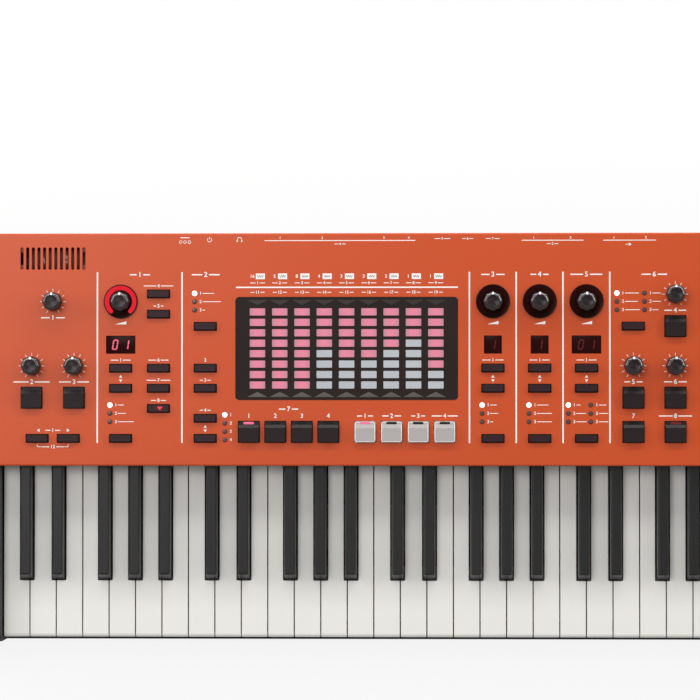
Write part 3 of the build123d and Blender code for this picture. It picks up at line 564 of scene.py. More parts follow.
def arrow(place, size, way):
    """A filled triangle that points along x by way[0] and along y by way[1]."""
    tip = Vector(way) * size * 0.5
    side = Vector((-way[1], way[0])) * size * 0.62
    print_on([Vector(place) + tip, Vector(place) - tip + side, Vector(place) - tip - side])


def numeral(text, place, height):
    """Plain figures, printed with their middle at a place."""
    figures = bpy.data.curves.new("figures", "FONT")
    figures.body = text
    figures.size = height / 0.72
    figures.align_x = "CENTER"
    figures.align_y = "CENTER"
    figures.extrude = (ink_top - ink_base) / 2
    figures.offset = 0.022 * height
    figures.resolution_u = 4
    lettered = bpy.data.objects.new("figures", figures)
    mesh = bpy.data.meshes.new_from_object(lettered)
    mesh.transform(Matrix.Translation(Vector((*place, (ink_top + ink_base) / 2)) * mm) @ Matrix.Scale(mm, 4))
    ink.from_mesh(mesh)
    bpy.data.objects.remove(lettered)
    bpy.data.curves.remove(figures)
    bpy.data.meshes.remove(mesh)


def heading(text, place, height, width):
    """A number with a short rule on each side of it, as wide in all as the place to be filled."""
    numeral(text, place, height)
    inner = height * (0.36 * len(text) + 0.3)
    if width / 2 > inner + 1.6:
        for way in (-1, 1):
            print_on(bar((place[0] + way * inner, place[1]), (place[0] + way * width / 2, place[1]), height * 0.24))


rule_width = 1.3
rule_rear = panel_rear - 34.3
rule_front = panel_rear - 184.8
rule_step = 20.6
columns = {name: centre(f"{name}_level_knob").x for name in ("organ", "electric_piano", "piano", "layer")}
columns["control"] = centre("control_buttons").x
columns["effect"] = centre("effect_select_button").x
for column in columns.values():
    print_on(bar((column - rule_step, rule_front), (column - rule_step, rule_rear), rule_width))

knobs = ("volume", "valve_drive", "dynamics", "effect", "delay", "reverb")
tick_inner, tick_outer, tick_width = 9.0, 11.3, 0.5
for name in knobs:
    hub = centre(f"{name}_knob")
    for turn in range(-150, 151, 30):
        way = Vector((math.sin(math.radians(turn)), math.cos(math.radians(turn))))
        print_on(bar(hub.xy + way * tick_inner, hub.xy + way * tick_outer, tick_width))

# Section titles and the names under the knobs and over the square buttons are numbers.
title_row, title_high = panel_rear - 36.6, 4.5
for text, name, across, width in (("1", "organ", 16.9, 18.0), ("2", "control", 0.3, 24.6), ("3", "electric_piano", 0, 20.6),
                                  ("4", "piano", 0, 16.0), ("5", "layer", 0, 28.0)):
    heading(text, (columns[name] + across, title_row), title_high, width)
heading("6", ((columns["effect"] + centre("reverb_knob").x) / 2, title_row), title_high, 22.5)
knob_drop, square_lift, name_high = 14.2, 14.0, 4.3
for text, name, width in (("1", "volume", 21.0), ("2", "valve_drive", 32.0), ("3", "dynamics", 26.4), ("4", "effect", 19.0),
                          ("5", "delay", 16.0), ("6", "reverb", 20.0)):
    hub = centre(f"{name}_knob")
    heading(text, (hub.x, hub.y - knob_drop), name_high, width)
for text, name, width in (("7", "equaliser", 7.0), ("8", "tap_tempo", 29.0), ("1", "scene", 0.0), ("2", "scene", 0.0),
                          ("3", "scene", 0.0), ("4", "scene", 0.0), ("1", "tone", 14.0), ("2", "tone", 16.7), ("3", "tone", 12.3),
                          ("4", "tone", 22.9)):
    hub = centre(f"{name}_button_{text}" if name in ("scene", "tone") else f"{name}_button")
    heading(text, (hub.x, hub.y + square_lift), 3.9, width)
scene_middle = (centre("scene_button_2") + centre("scene_button_3")) / 2
heading("7", (scene_middle.x, scene_middle.y + 20.0), 4.3, 17.0)

# Small buttons have a number behind them, or a pair of arrows between two that step up and down.
button_lift, small_high = 7.1, 3.0
captions = {"organ": (17.6, "pair", 0, 26.0, 8.8, 17.6, 21.0, 13.2), "control": (0, 7.0, 9.7, 9.7, "pair"),
            "electric_piano": (18.5, "pair", 0), "piano": (17.6, "pair", 0), "layer": (17.6, "pair", 0)}
for name, widths in captions.items():
    spots = sorted((middle(box).xy for box in loose(f"{name}_buttons")), key=lambda spot: (round(spot.x / 5), -spot.y))
    for k, (spot, width) in enumerate(zip(spots, widths)):
        if width == "pair":
            between = (spots[k - 1] + spot) / 2
            arrow((between.x, between.y + 1.7), 2.4, (0, 1))
            arrow((between.x, between.y - 2.3), 2.4, (0, -1))
        elif width:
            heading(str(k + 1), (spot.x, spot.y + button_lift), small_high, width)
octave = [middle(box).xy for box in loose("octave_buttons")]
octave_middle = (octave[0] + octave[1]) / 2
arrow((octave[0].x + 0.9, octave[0].y + button_lift), 2.4, (-1, 0))
arrow((octave[1].x - 0.1, octave[1].y + button_lift), 2.4, (1, 0))
heading("1", (octave_middle.x, octave_middle.y + button_lift), small_high, 13.2)
bracket_row = octave_middle.y - 6.8
heading("12", (octave_middle.x, bracket_row - 0.6), small_high, 20.0)
for spot, way in zip(octave, (1, -1)):
    print_on(bar((spot.x + 0.1 * way, bracket_row + 1.5), (spot.x + 0.1 * way, bracket_row - 0.9), 0.6))
    print_on(bar((spot.x + 0.1 * way, bracket_row - 0.6), (spot.x + 3.4 * way, bracket_row - 0.6), 0.6))

# A rising wedge under each level knob shows which way is louder.
for name in ("organ", "electric_piano", "piano", "layer"):
    hub = centre(f"{name}_level_knob")
    row = hub.y - 18.7
    print_on([(hub.x - 5.0, row - 1.4), (hub.x + 5.0, row - 1.4), (hub.x + 5.0, row + 1.4)])

# Each small light has a number and a dash beside it.
lights = {}
for box in loose("indicator_lights"):
    lights.setdefault(round(middle(box).x), []).append(middle(box).xy)
light_words = ((7.9, 9.7, 16.7), (12.8, 18.9, 4.8), (1.8, 1.8, 1.8, 1.8), (8.4, 9.7, 5.3), (12.8, 15.8, 15.8),
               (6.6, 11.0, 11.6), (9.2, 11.0, 11.0), (15.0, 14.0, 15.8), (10.0, 10.0, 7.9))
for (across, spots), widths in zip(sorted(lights.items()), light_words):
    for k, (spot, width) in enumerate(zip(sorted(spots, key=lambda spot: -spot.y), widths)):
        start = spot.x + 4.4
        numeral(str(k + 1), (start + 0.9, spot.y), 2.8)
        if width > 4.0:
            print_on(bar((start + 2.6, spot.y), (start + width, spot.y), 0.6))

# Over the touch window, each ladder has a length number, a wave mark in a white box and two
# more numbers, above and below a long rule.
window_low, window_high = (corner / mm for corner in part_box("touch_window"))
window_middle = ((window_low + window_high) / 2).xy
bar_columns, bar_pitch = 9, 19.62
footages = ("16", "5", "8", "4", "3", "2", "2", "1", "1")
print_on(bar((window_middle.x - 97.5, window_middle.y + 53.8), (window_middle.x + 98.0, window_middle.y + 53.8), 1.2))
for k, footage in enumerate(footages):
    across = window_middle.x + (k - 4) * bar_pitch
    box = Vector((across + 2.5, window_middle.y + 63.5))
    print_on(bar(box - Vector((4.0, 0)), box + Vector((4.0, 0)), 5.0))
    wave = [box + Vector((step * 0.9, 1.0 if step % 2 else -1.0)) for step in range(-3, 4)]
    for start, end in zip(wave, wave[1:]):
        print_on(bar(start, end, 0.55), grey_ink, ink_top - 0.01, ink_top + 0.03)
    numeral(footage, (across - 4.6, box.y), small_high)
    heading(str(k + 1), (across, window_middle.y + 57.7), 2.7, 13.0)
    heading(str(k + 11), (across, window_middle.y + 49.4), 2.7, 12.5)

# Behind, signs and numbers stand over the sockets that they belong to.
sign_row, rear_rule, rear_high = panel_rear - 5.8, panel_rear - 6.6, 2.3
supply, power_sign, phones = -342.2, -320.5, -294.1
for step in (-3.9, 0, 3.9):
    arc((supply + step, panel_rear - 7.8), 1.2, 0.45)
print_on(bar((supply - 4.0, panel_rear - 4.0), (supply + 4.0, panel_rear - 4.0), 0.7))
arc((power_sign, sign_row), 1.9, 0.5, 45, 315)
print_on(bar((power_sign, sign_row + 0.4), (power_sign, sign_row + 2.5), 0.5))
arc((phones, sign_row + 0.1), 2.0, 0.5, -105, 105)
for way in (-1, 1):
    print_on(bar((phones + way * 2.0, sign_row - 2.0), (phones + way * 2.0, sign_row), 1.0))
for start, end, under, above in ((-271.9, -139.3, -205.5, (-258.3, -221.2, -166.9, -145.0)),
                                 (-45.8, 8.5, -18.7, (-35.2, -2.8)), (25.7, 72.0, None, (35.2, 63.2))):
    print_on(bar((start, rear_rule), (end, rear_rule), 0.7))
    for k, place in enumerate(above):
        numeral(str(k + 1), (place, panel_rear - 4.3), rear_high)
    if under:
        heading(str(len(above)), (under, rear_rule - 3.0), rear_high, 10.0)
arrow((49.4, rear_rule - 3.6), 2.4, (1, 0))
print_on(bar((45.4, rear_rule - 3.6), (49.0, rear_rule - 3.6), 0.6))
for k, (place, width) in enumerate(((-115.5, 14.0), (-93.3, 9.7), (-71.3, 12.3))):
    heading(str(k + 5), (place, panel_rear - 5.0), rear_high, width)


def white_ink(at):
    grains = at.noise(0.4, 3.0)
    return {
        "Base Color": grains.mix(colour(246, 240, 235), colour(255, 251, 248)),
        "Roughness": grains * 0.15 + 0.4,
    }


def drab_ink(at):
    return {"Base Color": at.noise(0.4, 3.0).mix(colour(136, 134, 122), colour(156, 152, 140))}


bmesh.ops.remove_doubles(ink, verts=ink.verts, dist=0.0005 * mm)
piece("printed_legends", ink, finish("white ink", white_ink), "top_panel", sharp=20)
piece("printed_waves", grey_ink, finish("grey ink", drab_ink, roughness=0.5), "top_panel", sharp=20)


# The touch window is a plate of smoked acrylic, polished, with its corners rounded to suit
# the hole. Behind it, nine ladders of eight light bars show the levels that a finger sets.
def outline_of(long, high, corner, steps=6):
    """A rounded rectangle about the origin."""
    points = []
    for quarter, (right, up) in enumerate(((1, 1), (-1, 1), (-1, -1), (1, -1))):
        for k in range(steps + 1):
            turn = (quarter + k / steps) * math.pi / 2
            points.append((right * (long / 2 - corner) + corner * math.cos(turn),
                           up * (high / 2 - corner) + corner * math.sin(turn)))
    return points


def smoked(at):
    haze = at.noise(90.0, 2.0)
    return {"Base Color": haze.mix(colour(34, 25, 23), colour(43, 33, 30)), "Roughness": at.noise(30.0) * 0.05 + 0.1}


smoked_acrylic = finish("smoked acrylic", smoked, specular_ior_level=0.35)
window_corner = 3.5
window_ledge = 3.0
window_size = (window_high - window_low).xy - Vector((2, 2)) * window_ledge
pane = bmesh.new()
ledge_top = window_low.z + 1.4
skin(pane, [level(outline_of(*(window_size + Vector((2, 2)) * window_ledge), 1.0), z, window_middle)
            for z in (window_low.z, ledge_top)])
skin(pane, [level(outline_of(window_size.x - 2 * inset, window_size.y - 2 * inset, window_corner), z, window_middle)
            for inset, z in ((0.0, ledge_top), (0.0, window_high.z - 0.2), (0.2, window_high.z))])
piece("smoked_pane", pane, smoked_acrylic, "touch_window", ["touch_window"])

bar_rows, bar_step = 8, 9.19
bar_long, bar_high = 13.6, 6.3
bars_lit = (8, 8, 8, 4, 5, 5, 4, 3, 6)
mark_base, mark_top = window_high.z - 0.02, window_high.z + 0.04
mark_half, mark_foot, mark_tip = 8.9, -42.7, -38.2
lit_bars, dark_bars, marks, faint_marks = bmesh.new(), bmesh.new(), bmesh.new(), bmesh.new()
for column, lit in enumerate(bars_lit):
    across = window_middle.x + (column - 4) * bar_pitch
    for row in range(bar_rows):
        place = (across, window_middle.y - (row - 3.5) * bar_step)
        glow = lit_bars if row < lit else dark_bars
        skin(glow, [level(outline_of(bar_long, bar_high, 0.5, 3), z, place) for z in (mark_base, mark_top)])
    for form, side in ((marks, 1), (faint_marks, -1)):
        triangle = [(across - mark_half, window_middle.y + side * mark_foot),
                    (across + mark_half, window_middle.y + side * mark_foot),
                    (across, window_middle.y + side * mark_tip)]
        print_on(triangle, form, mark_base, mark_top)


def glowing(name, rim, core, strength, **constants):
    """A lamp behind plastic, in two shades that drift into each other."""

    def dress(at):
        haze = at.noise(5.0)
        return {"Emission Color": haze.mix(rim, core), "Base Color": haze.mix(colour(40, 12, 14), colour(50, 18, 20))}

    return finish(name, dress, emission_strength=strength, roughness=0.3, specular_ior_level=0.2, **constants)


def laddered(at):
    """The light of a bar, strong along its middle and paler at its two ends."""
    across = at.parts()[0]
    steps = (across - (window_middle.x - bar_pitch / 2) * mm) / (bar_pitch * mm)
    aside = abs(steps.sum("FRACT", steps, 0.0) - 0.5) * (2 * bar_pitch / bar_long)
    haze = at.noise(4.0)
    strong = haze.mix(colour(234, 134, 158), colour(244, 150, 172))
    return {
        "Emission Color": (aside.sum("POWER", aside, 2.6)).mix(strong, colour(192, 142, 154)),
        "Base Color": haze.mix(colour(30, 14, 18), colour(38, 18, 22)),
    }


backlight = finish("ladder light", laddered, emission_strength=0.92, roughness=0.25, specular_ior_level=0.2)
piece("lit_bars", lit_bars, backlight, "touch_window")
piece("unlit_bars", dark_bars, moulded("unlit bars", colour(194, 197, 202), colour(178, 182, 188), 0.8, 0.0, 0.25), "touch_window")
piece("slide_marks", marks, moulded("slide marks", colour(96, 88, 86), colour(84, 77, 75), 0.8, 0.0, 0.3), "touch_window")
piece("faint_marks", faint_marks, moulded("faint marks", colour(47, 39, 37), colour(40, 33, 31), 0.8, 0.0, 0.3), "touch_window")


# The displays are red filters, level with the panel, over seven-segment number modules. The
# organ's is lit, and the others glow dimly.
def filtered(at):
    haze = at.noise(12.0)
    return {"Base Color": haze.mix(colour(36, 10, 9), colour(46, 14, 12)), "Roughness": haze * 0.05 + 0.2}


red_filter = finish("red filter", filtered, specular_ior_level=0.05)
softened("filter_panes", "display_windows", red_filter, 0.2)
digit_high, digit_long, stroke = 9.14, 4.9, 1.15
slant = math.tan(math.radians(9))
segments = {"a": ((0, 1), (1, 1)), "b": ((1, 0.5), (1, 1)), "c": ((1, 0), (1, 0.5)), "d": ((0, 0), (1, 0)),
            "e": ((0, 0), (0, 0.5)), "f": ((0, 0.5), (0, 1)), "g": ((0, 0.5), (1, 0.5))}
shapes = {"0": "abcdef", "1": "bc"}


def digit(form, figure, place, top):
    """A slanted seven-segment figure with its middle at a place."""
    for name in shapes[figure]:
        ends = []
        for across, up in segments[name]:
            y = (up - 0.5) * (digit_high - stroke)
            ends.append(Vector((place[0] + (across - 0.5) * (digit_long - stroke) + y * slant, place[1] + y)))
        run = (ends[1] - ends[0]).normalized() * 0.2
        print_on(bar(ends[0] + run, ends[1] - run, stroke), form, top - 0.02, top + 0.04)


bright, dim = bmesh.new(), bmesh.new()
display_boxes = loose("display_windows")
digit_pitch = 9.6
for box, figures, form in zip(display_boxes, ("01", "1", "1", "01"), (bright, dim, dim, dim)):
    place = middle(box)
    for k, figure in enumerate(figures):
        digit(form, figure, (place.x + (k - (len(figures) - 1) / 2) * digit_pitch, place.y), box[1].z)
piece("lit_number", bright, glowing("red light", colour(246, 70, 96), colour(255, 132, 150), 1.0), "display_windows")
piece("dim_numbers", dim, glowing("dim red light", colour(84, 24, 22), colour(104, 30, 28), 0.6), "display_windows")


# Each small light is a clear plastic pipe, domed at the top, in a dark bezel pressed into
# the panel. The rearmost of a column is lit, apart from those of a second choice. A lit one
# has a flat ring of its white light in place of the bezel, a painted glow around it.
bezel_radius = 2.2
bezels, lit_pipes_painted_glow, dark_pipes = bmesh.new(), bmesh.new(), bmesh.new()
second_columns = (6, 8)
for count, (across, spots) in enumerate(sorted(lights.items())):
    for low, high in loose("indicator_lights"):
        place = middle((low, high)).xy
        if round(place.x) != across:
            continue
        radius = (high.x - low.x) / 2 * 0.98
        lit = place.y == max(spot.y for spot in spots) and count not in second_columns
        form = lit_pipes_painted_glow if lit else dark_pipes
        turned(form, [(radius, low.z), (radius, panel_top + 0.1), (radius * 0.85, high.z - 0.12),
                      (radius * 0.5, high.z - 0.02), (0.1, high.z)], place, 24)
        if not lit:
            turned(bezels, [(bezel_radius, panel_top - 0.3), (bezel_radius, panel_top + 0.1),
                            (bezel_radius - 0.1, panel_top + 0.16), (radius + 0.05, panel_top + 0.16),
                            (radius + 0.05, panel_top - 0.3)], place, 24, closed=True)
        else:
            # Painted glow: a flat glowing ring where the dark bezel would be.
            turned(lit_pipes_painted_glow, [(bezel_radius, panel_top - 0.02), (bezel_radius, panel_top + 0.04),
                               (radius, panel_top + 0.1), (radius - 0.2, panel_top - 0.02)], place, 24, closed=True)
piece("lit_pipes_painted_glow", lit_pipes_painted_glow, glowing("white light", colour(250, 238, 246), colour(255, 250, 253), 3.0), "indicator_lights",
      ["indicator_lights"])
piece("unlit_pipes", dark_pipes, moulded("unlit light pipe", colour(104, 74, 69), colour(84, 58, 54), 0.8, 0.01, 0.2),
      "indicator_lights")
piece("light_bezels", bezels, moulded("bezel plastic", colour(52, 36, 32), colour(42, 30, 27), 0.4, 0.01, 0.4), "indicator_lights")


# The level knobs stand in glossy black collars, dished like a saucer. A ring of light runs
# most of the way round each one, and the organ's is lit red.
collar_radius, collar_bore = 15.0, 8.9
shaft_gap = 4.3
ring_inner, ring_outer, ring_reach = 10.1, 14.0, 144
polished_black = moulded("polished black", colour(33, 16, 12), colour(24, 11, 9), 0.6, 0.002, 0.16, specular_ior_level=0.2)
collars, red_ring, dark_rings = bmesh.new(), bmesh.new(), bmesh.new()


def dish(radius):
    """The height above the panel of the collar's dish at a radius."""
    return 0.9 + 1.2 * ((radius - collar_bore) / (collar_radius - 0.9 - collar_bore)) ** 1.4


for name in ("organ", "electric_piano", "piano", "layer"):
    hub = centre(f"{name}_level_knob")
    profile = [(collar_radius, 0.0), (collar_radius, 1.7), (14.85, 2.05), (14.55, 2.2), (14.25, 2.2), (14.1, 2.1)]
    profile += [(radius, dish(radius)) for radius in (13.4, 12.6, 11.6, 10.6, 9.6, collar_bore)]
    profile += [(collar_bore - 0.2, 0.35), (shaft_gap, 0.3), (shaft_gap, 0.0)]
    turned(collars, [(radius, panel_top + height) for radius, height in profile], hub.xy, 96, closed=True)
    ring = red_ring if name == "organ" else dark_rings
    sections = []
    for turn in range(-ring_reach, ring_reach + 1, 3):
        way = Vector((math.sin(math.radians(turn)), math.cos(math.radians(turn))))
        half = (ring_outer - ring_inner) / 2
        short = max(0.0, abs(turn) - (ring_reach - 9)) / 9
        half *= math.sqrt(max(0.02, 1 - short * short))
        spread = [(ring_inner + ring_outer) / 2 + half * part for part in (-1, -0.5, 0, 0.5, 1)]
        tops = [Vector((*(hub.xy + way * radius), panel_top + dish(radius) + 0.05)) * mm for radius in spread]
        sections.append(tops + [Vector((point.x, point.y, point.z - 0.15 * mm)) for point in reversed(tops)])
    skin(ring, sections)
piece("level_saucers", collars, polished_black, "level_collars", ["level_collars"])
piece("lit_level_ring", red_ring, glowing("red ring light", colour(228, 24, 42), colour(240, 40, 56), 0.9), "level_collars")
piece("unlit_level_rings", dark_rings, moulded("unlit ring", colour(52, 15, 12), colour(40, 11, 9), 0.8, 0.002, 0.14, specular_ior_level=0.2),
      "level_collars")


# Each knob is a black moulding pushed on to its shaft: eight ridges with scooped flats
# between them, a bevel that catches the light, a dished cap that was spun, and a white pointer.
ridges = 8
skirt_radius = 8.4
bevel_foot, bevel_head = (8.0, 12.3), (5.9, 13.7)
knob_lift, knob_height = 0.7, 15.0
facets = 96
cap_radius = 5.05


def scalloped(radius, scoop):
    """A round outline whose radius falls by scoop mm half-way between the ridges."""
    points = []
    for k in range(facets):
        turn = k * math.tau / facets
        reach = radius - scoop * abs(math.sin(turn * ridges / 2)) ** 1.5
        points.append((reach * math.cos(turn), reach * math.sin(turn)))
    return points


def gripped(at):
    """Black plastic: dull on the ridges, where fingers grip it, and polished on the bevel."""
    bevel = at.parts()[2] > (bevel_foot[1] - 0.2) * mm
    clouds = at.noise(5.0)
    return {
        "Base Color": clouds.mix(colour(27, 16, 17), colour(38, 24, 25)),
        "Roughness": 0.75 - bevel * 0.55 + clouds * 0.06,
        "Coat Weight": bevel * 0.8,
    }


def spun(at):
    """The cap's black, drawn out in rings by the tool that spun it."""
    clouds = at.noise(5.0)
    return {
        "Base Color": clouds.mix(colour(24, 14, 16), colour(33, 21, 23)),
        "Roughness": clouds * 0.05 + 0.3,
    }


knob_black = finish("knob black", gripped, specular_ior_level=0.5, coat_roughness=0.12)
cap_spun = finish("spun black", spun, specular_ior_level=0.4, anisotropic=0.9, anisotropic_rotation=0.25)
pointer_white = moulded("pointer white", colour(246, 244, 242), colour(232, 230, 228), 0.4, 0.005, 0.35)
pointer_long, pointer_wide, pointer_place = 3.2, 1.7, (6.35, 13.66)
for name in (*knobs, "organ_level", "electric_piano_level", "piano_level", "layer_level"):
    hub = centre(f"{name}_knob")
    place = (hub.x, hub.y, panel_top)
    form = bmesh.new()
    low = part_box(f"{name}_knob")[0].z / mm - panel_top
    profile = [(3.0, 0.0, low), (3.0, 0.0, knob_lift), (skirt_radius - 0.3, 0.5, knob_lift), (skirt_radius, 0.6, knob_lift + 0.4),
               (skirt_radius - 0.02, 0.7, 11.4), (skirt_radius - 0.15, 0.6, 11.95), (bevel_foot[0], 0.3, bevel_foot[1]),
               (7.4, 0.12, 12.8), (6.8, 0.04, 13.2), (6.3, 0.0, 13.48), (*bevel_head[:1], 0.0, bevel_head[1]),
               (5.7, 0.0, 14.0), (5.6, 0.0, 14.7), (5.45, 0.0, 14.93), (5.3, 0.0, knob_height), (5.12, 0.0, 14.95),
               (5.1, 0.0, 14.2), (0.6, 0.0, 14.2)]
    skin(form, [level(scalloped(radius, scoop), height) for radius, scoop, height in profile])
    piece(f"{name}_knob_body", form, knob_black, f"{name}_knob", [f"{name}_knob"], place, sharp=50)
    form = bmesh.new()
    turned(form, [(cap_radius, 14.1), (cap_radius, 14.86), (cap_radius - 0.2, 14.72), (3.8, 14.5), (2.4, 14.36), (0.1, 14.3)])
    piece(f"{name}_knob_cap", form, cap_spun, f"{name}_knob", (), place)
    form = bmesh.new()
    skin(form, [level(outline_of(pointer_wide, pointer_long, 0.35, 3), height) for height in (-0.5, 0.12)])
    tilt = Matrix.Rotation(-math.atan2(bevel_head[1] - bevel_foot[1], bevel_foot[0] - bevel_head[0]), 4, "X")
    form.transform(Matrix.Translation(Vector((0, *pointer_place)) * mm) @ tilt)
    piece(f"{name}_knob_pointer", form, pointer_white, f"{name}_knob", (), place)


# The square buttons are black or pale grey caps with a low ledge behind, where a small window
# shows that one is on, and a face that slopes gently to the front. They click 1.2 mm down.
cap_side, cap_corner = 18.1, 1.7
cap_rise, front_rise = 4.2, 3.3
ledge_deep, ridge_run = 2.6, 3.1
lens_long, lens_high, lens_back = 9.4, 2.1, 7.75
flange_drop = 0.3 + 2.0


def square_cap(form, low, ledge_rise):
    """A button's foot below the panel and its cap above, about the panel's face at the origin."""
    half = cap_side / 2
    foot = half + 1.7
    flange = -flange_drop
    skin(form, [level(outline_of(2 * foot, 2 * foot, 0.3, 2), z) for z in (low, flange)])
    profile = [(-half, flange - 0.5), (-half, front_rise), (half - ledge_deep - ridge_run, cap_rise), (half - ledge_deep, ledge_rise),
               (half, ledge_rise), (half, flange - 0.5)]
    ends = [[form.verts.new(Vector((x, y, z)) * mm) for y, z in profile] for x in (-half, half)]
    for side in ends:
        form.faces.new(side)
    corners = []
    for k in range(len(profile)):
        form.faces.new((ends[0][k - 1], ends[0][k], ends[1][k], ends[1][k - 1]))
    for side in ends:
        corners += [form.edges.get((side[0], side[1])), form.edges.get((side[-1], side[-2]))]
    bmesh.ops.bevel(form, geom=corners, offset=cap_corner * mm, segments=4, profile=0.5, affect="EDGES")


def face_plate(form, inset, ledge_rise, thick=0.08):
    """A thin skin on top of a cap, inset from its edges, round which a pale cap's white shows as a painted highlight.
    """
    half = cap_side / 2
    ridge = half - ledge_deep - ridge_run
    slope = (cap_rise - front_rise) / (ridge + half)
    profile = [(inset - half, front_rise + slope * inset), (ridge, cap_rise), (half - ledge_deep, ledge_rise),
               (half - inset, ledge_rise)]
    profile = [(y, z + thick) for y, z in profile] + [(y, z - thick) for y, z in reversed(profile)]
    skin(form, [[Vector((x, y, z)) * mm for y, z in profile] for x in (inset - half, half - inset)])


cap_black = moulded("black cap", colour(40, 27, 27), colour(30, 20, 20), 0.35, 0.012, 0.42, specular_ior_level=0.3)
pale_cap_highlit = moulded("pale cap painted highlight", colour(238, 233, 229), colour(229, 224, 220), 0.35, 0.012, 0.42, specular_ior_level=0.3)
face_grey = moulded("grey face", colour(188, 182, 180), colour(177, 171, 168), 0.35, 0.012, 0.42, specular_ior_level=0.3)
lens_dark = moulded("dark lens", colour(20, 15, 15), colour(14, 11, 11), 0.5, 0.002, 0.3, specular_ior_level=0.3)
lens_lit = glowing("lit lens", colour(240, 98, 140), colour(248, 128, 164), 1.0)
lens_dim = glowing("dim lens", colour(118, 36, 42), colour(138, 44, 50), 0.6)
# The black caps' edges are a darker black, a painted shade; the pale caps' edges are white, a painted highlight round
# their grey face.
painted_rims = {
    cap_black: (moulded("black cap painted edge shade", colour(18, 11, 11), colour(12, 8, 8), 0.35, 0.01, 0.5, specular_ior_level=0.2), 0.6, 2.2),
    pale_cap_highlit: (pale_cap_highlit, 0.5, 3.0),
}
squares = {f"{name}_button": (cap_black, lens_dark)
           for name in ("valve_drive", "dynamics", "effect", "delay", "reverb", "equaliser")}
squares["tap_tempo_button"] = (cap_black, lens_dim)
for number in range(1, 5):
    squares[f"scene_button_{number}"] = (cap_black, lens_lit if number == 1 else lens_dark)
    squares[f"tone_button_{number}"] = (pale_cap_highlit, lens_lit if number == 1 else lens_dark)
for node, (cap, lens) in squares.items():
    hub = centre(node)
    place = (hub.x, hub.y, panel_top)
    rim, edge, ledge_rise = painted_rims[cap]
    form = bmesh.new()
    square_cap(form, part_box(node)[0].z / mm - panel_top, ledge_rise)
    break_edges(piece(f"{node}_cap", form, cap, node, [node], place, sharp=0), edge, 3, rim)
    form = bmesh.new()
    outline = [(x, y + lens_back) for x, y in outline_of(lens_long, lens_high, lens_high / 2 - 0.01)]
    skin(form, [level(outline, z) for z in (ledge_rise - 0.4, ledge_rise + 0.12)])
    piece(f"{node}_lens", form, lens, node, (), place)
    # A pale cap is white, a painted highlight, and only this grey face has the cap's own colour.
    if cap == pale_cap_highlit:
        form = bmesh.new()
        face_plate(form, 0.85, ledge_rise)
        piece(f"{node}_face", form, face_grey, node, (), place, sharp=10)


# The small buttons are oblong black caps, a little crowned, in close-fitting holes. Each cap is
# the darker black of painted edge shade, with the cap's own black on a face set in from its edges.
# One of the organ's has a red light inside that shows through it.
small_black = moulded("small black cap", colour(52, 28, 33), colour(42, 22, 26), 0.35, 0.012, 0.45, specular_ior_level=0.25)
small_long, small_short = 19.5, 6.9
crown_drop, face_inset = 0.08, 0.75
for name in ("octave", "organ", "control", "electric_piano", "piano", "layer", "effect_select"):
    node = f"{name}_button" if name == "effect_select" else f"{name}_buttons"
    form, faces = bmesh.new(), bmesh.new()
    for low, high in loose(node):
        place = middle((low, high)).xy
        foot = (high - low).xy
        crown = high.z - crown_drop
        skin(form, [level(outline_of(foot.x, foot.y, 0.3, 2), z, place) for z in (low.z, panel_top - flange_drop)])
        rings = []
        for inset, z in ((0.0, panel_top - flange_drop - 0.5), (0.0, crown - 0.75), (0.12, crown - 0.4), (0.4, crown - 0.12),
                         (0.9, crown)):
            rings.append(level(outline_of(small_long - 2 * inset, small_short - 2 * inset, 1.4), z, place))
        skin(form, rings)
        skin(faces, [level(outline_of(small_long - 2 * face_inset, small_short - 2 * face_inset, 0.9), z, place)
                     for z in (crown - 0.2, crown + 0.02)])
    # Painted edge shade: the cap body is the darker black, and only its inset face has the cap's own black.
    piece(f"{name}_caps", form, painted_rims[cap_black][0], node, [node], sharp=40)
    piece(f"{name}_faces", faces, small_black, node, sharp=40)
red_spot, red_halo = bmesh.new(), bmesh.new()
low, high = min((box for box in loose("organ_buttons") if box[0].x > columns["organ"]), key=lambda box: box[0].y)
spot = middle((low, high)).xy + Vector((1.4, 0.3))
print_on([(x + spot.x, y + spot.y) for x, y in outline_of(9.0, 4.4, 1.8, 4)], red_halo, high.z - 0.2, high.z - 0.04)
print_on([(spot.x - 2.5, spot.y + 1.4), (spot.x, spot.y - 1.9), (spot.x + 2.5, spot.y + 1.4)], red_spot, high.z - 0.2, high.z)
piece("rotor_light", red_spot, glowing("red spot", colour(226, 48, 76), colour(246, 96, 120), 1.0), "organ_buttons")
piece("rotor_glow", red_halo, glowing("red glow", colour(86, 24, 32), colour(108, 28, 40), 0.6), "organ_buttons")


# The power button is a small black rocker-shaped cap that pushes in beside the supply inlet.
softened("power_cap", "power_button", cap_black, 0.6, 3)


# The studio is a pale floor under a broad soft lamp, up to the left behind the organ, with a
# weaker one at the right, a long strip low behind and an even light from all round.
def seen_directly(tree):
    """1 for rays that reach the camera straight or through glass."""
    path = tree.nodes.new("ShaderNodeLightPath")
    rays = [Wire(tree, path.outputs[name]) for name in ("Is Camera Ray", "Is Transmission Ray")]
    return rays[0].sum("MAXIMUM", rays[0], rays[1])


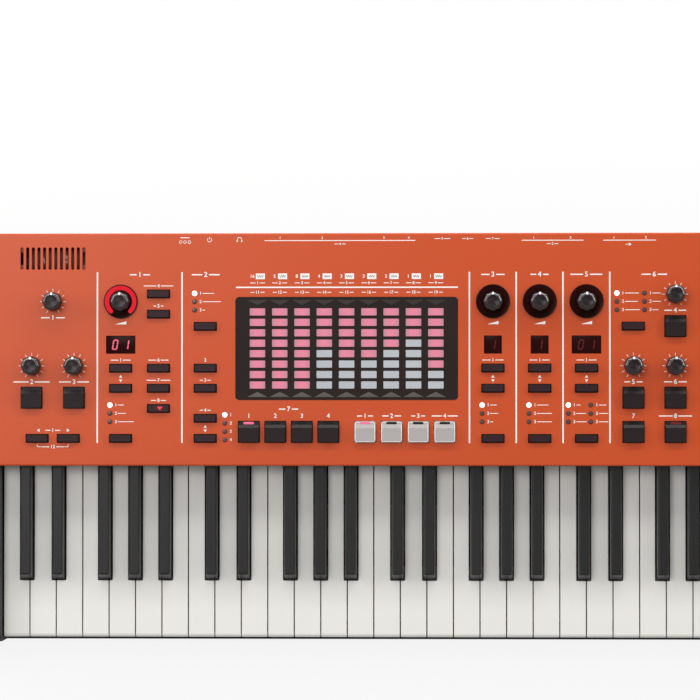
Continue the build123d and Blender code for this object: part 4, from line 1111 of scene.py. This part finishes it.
floor_mesh = bpy.data.meshes.new("studio_floor")
half = 6.0
floor_mesh.from_pydata([(-half, -half, 0), (half, -half, 0), (half, half, 0), (-half, half, 0)], [], [(0, 1, 2, 3)])
floor = bpy.data.objects.new("studio_floor", floor_mesh)
bpy.context.scene.collection.objects.link(floor)
floor_paint = bpy.data.materials.new("floor paper")
floor_paint.use_nodes = True
tree = floor_paint.node_tree
paper = tree.nodes["Principled BSDF"]
paper.inputs["Base Color"].default_value = (0.95, 0.95, 0.95, 1.0)
paper.inputs["Roughness"].default_value = 0.9
white = tree.nodes.new("ShaderNodeEmission")
blend = Wire(tree, paper.outputs[0]).make("ShaderNodeMixShader", {}, {
    0: seen_directly(tree) * 0.86, 1: Wire(tree, paper.outputs[0]), 2: Wire(tree, white.outputs[0])})
tree.links.new(blend.output, tree.nodes["Material Output"].inputs["Surface"])
floor_mesh.materials.append(floor_paint)
floor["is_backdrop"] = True

world = bpy.data.worlds.new("studio")
world.use_nodes = True
bpy.context.scene.world = world
tree = world.node_tree
background = tree.nodes["Background"]
background.inputs["Color"].default_value = (1.0, 1.0, 1.0, 1.0)
room = 0.38
tree.links.new((seen_directly(tree) * (1 - room) + room).output, background.inputs["Strength"])


def lamp(name, place, aim, size, power):
    """A soft box, size[0] by size[1], that faces a point."""
    light = bpy.data.lights.new(name, "AREA")
    light.shape = "RECTANGLE"
    light.size, light.size_y = size
    light.energy = power
    box = bpy.data.objects.new(name, light)
    box.location = place
    box.rotation_euler = (Vector(aim) - Vector(place)).to_track_quat("-Z", "Y").to_euler()
    bpy.context.scene.collection.objects.link(box)


lamp("soft box", (-1.2, 0.8, 2.8), (-0.2, 0.0, 0.05), (1.2, 1.2), 23.0)
lamp("rear strip", (-0.2, 2.2, 1.1), (-0.2, 0.0, 0.1), (4.6, 0.36), 47.0)
lamp("left strip", (-2.5, 0.9, 1.1), (-0.2, 0.0, 0.1), (1.7, 0.36), 16.5)
lamp("right strip", (2.1, 0.9, 1.1), (-0.2, 0.0, 0.1), (1.7, 0.36), 16.5)

camera = bpy.data.cameras.new("camera")
camera.lens = 164.25
camera.clip_end = 30.0
view = bpy.data.objects.new("camera", camera)
eye = Vector((-0.12, 0.03, 2.9))
aim = Vector((-0.1967, 0.0775, 0.092))
back = (eye - aim).normalized()
right = Vector((0, 1, 0)).cross(back).normalized()
view.matrix_world = Matrix.Translation(eye) @ Matrix((right, back.cross(right), back)).transposed().to_4x4()
bpy.context.scene.collection.objects.link(view)
bpy.context.scene.camera = view
bpy.context.scene.view_settings.view_transform = "Standard"

low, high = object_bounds()
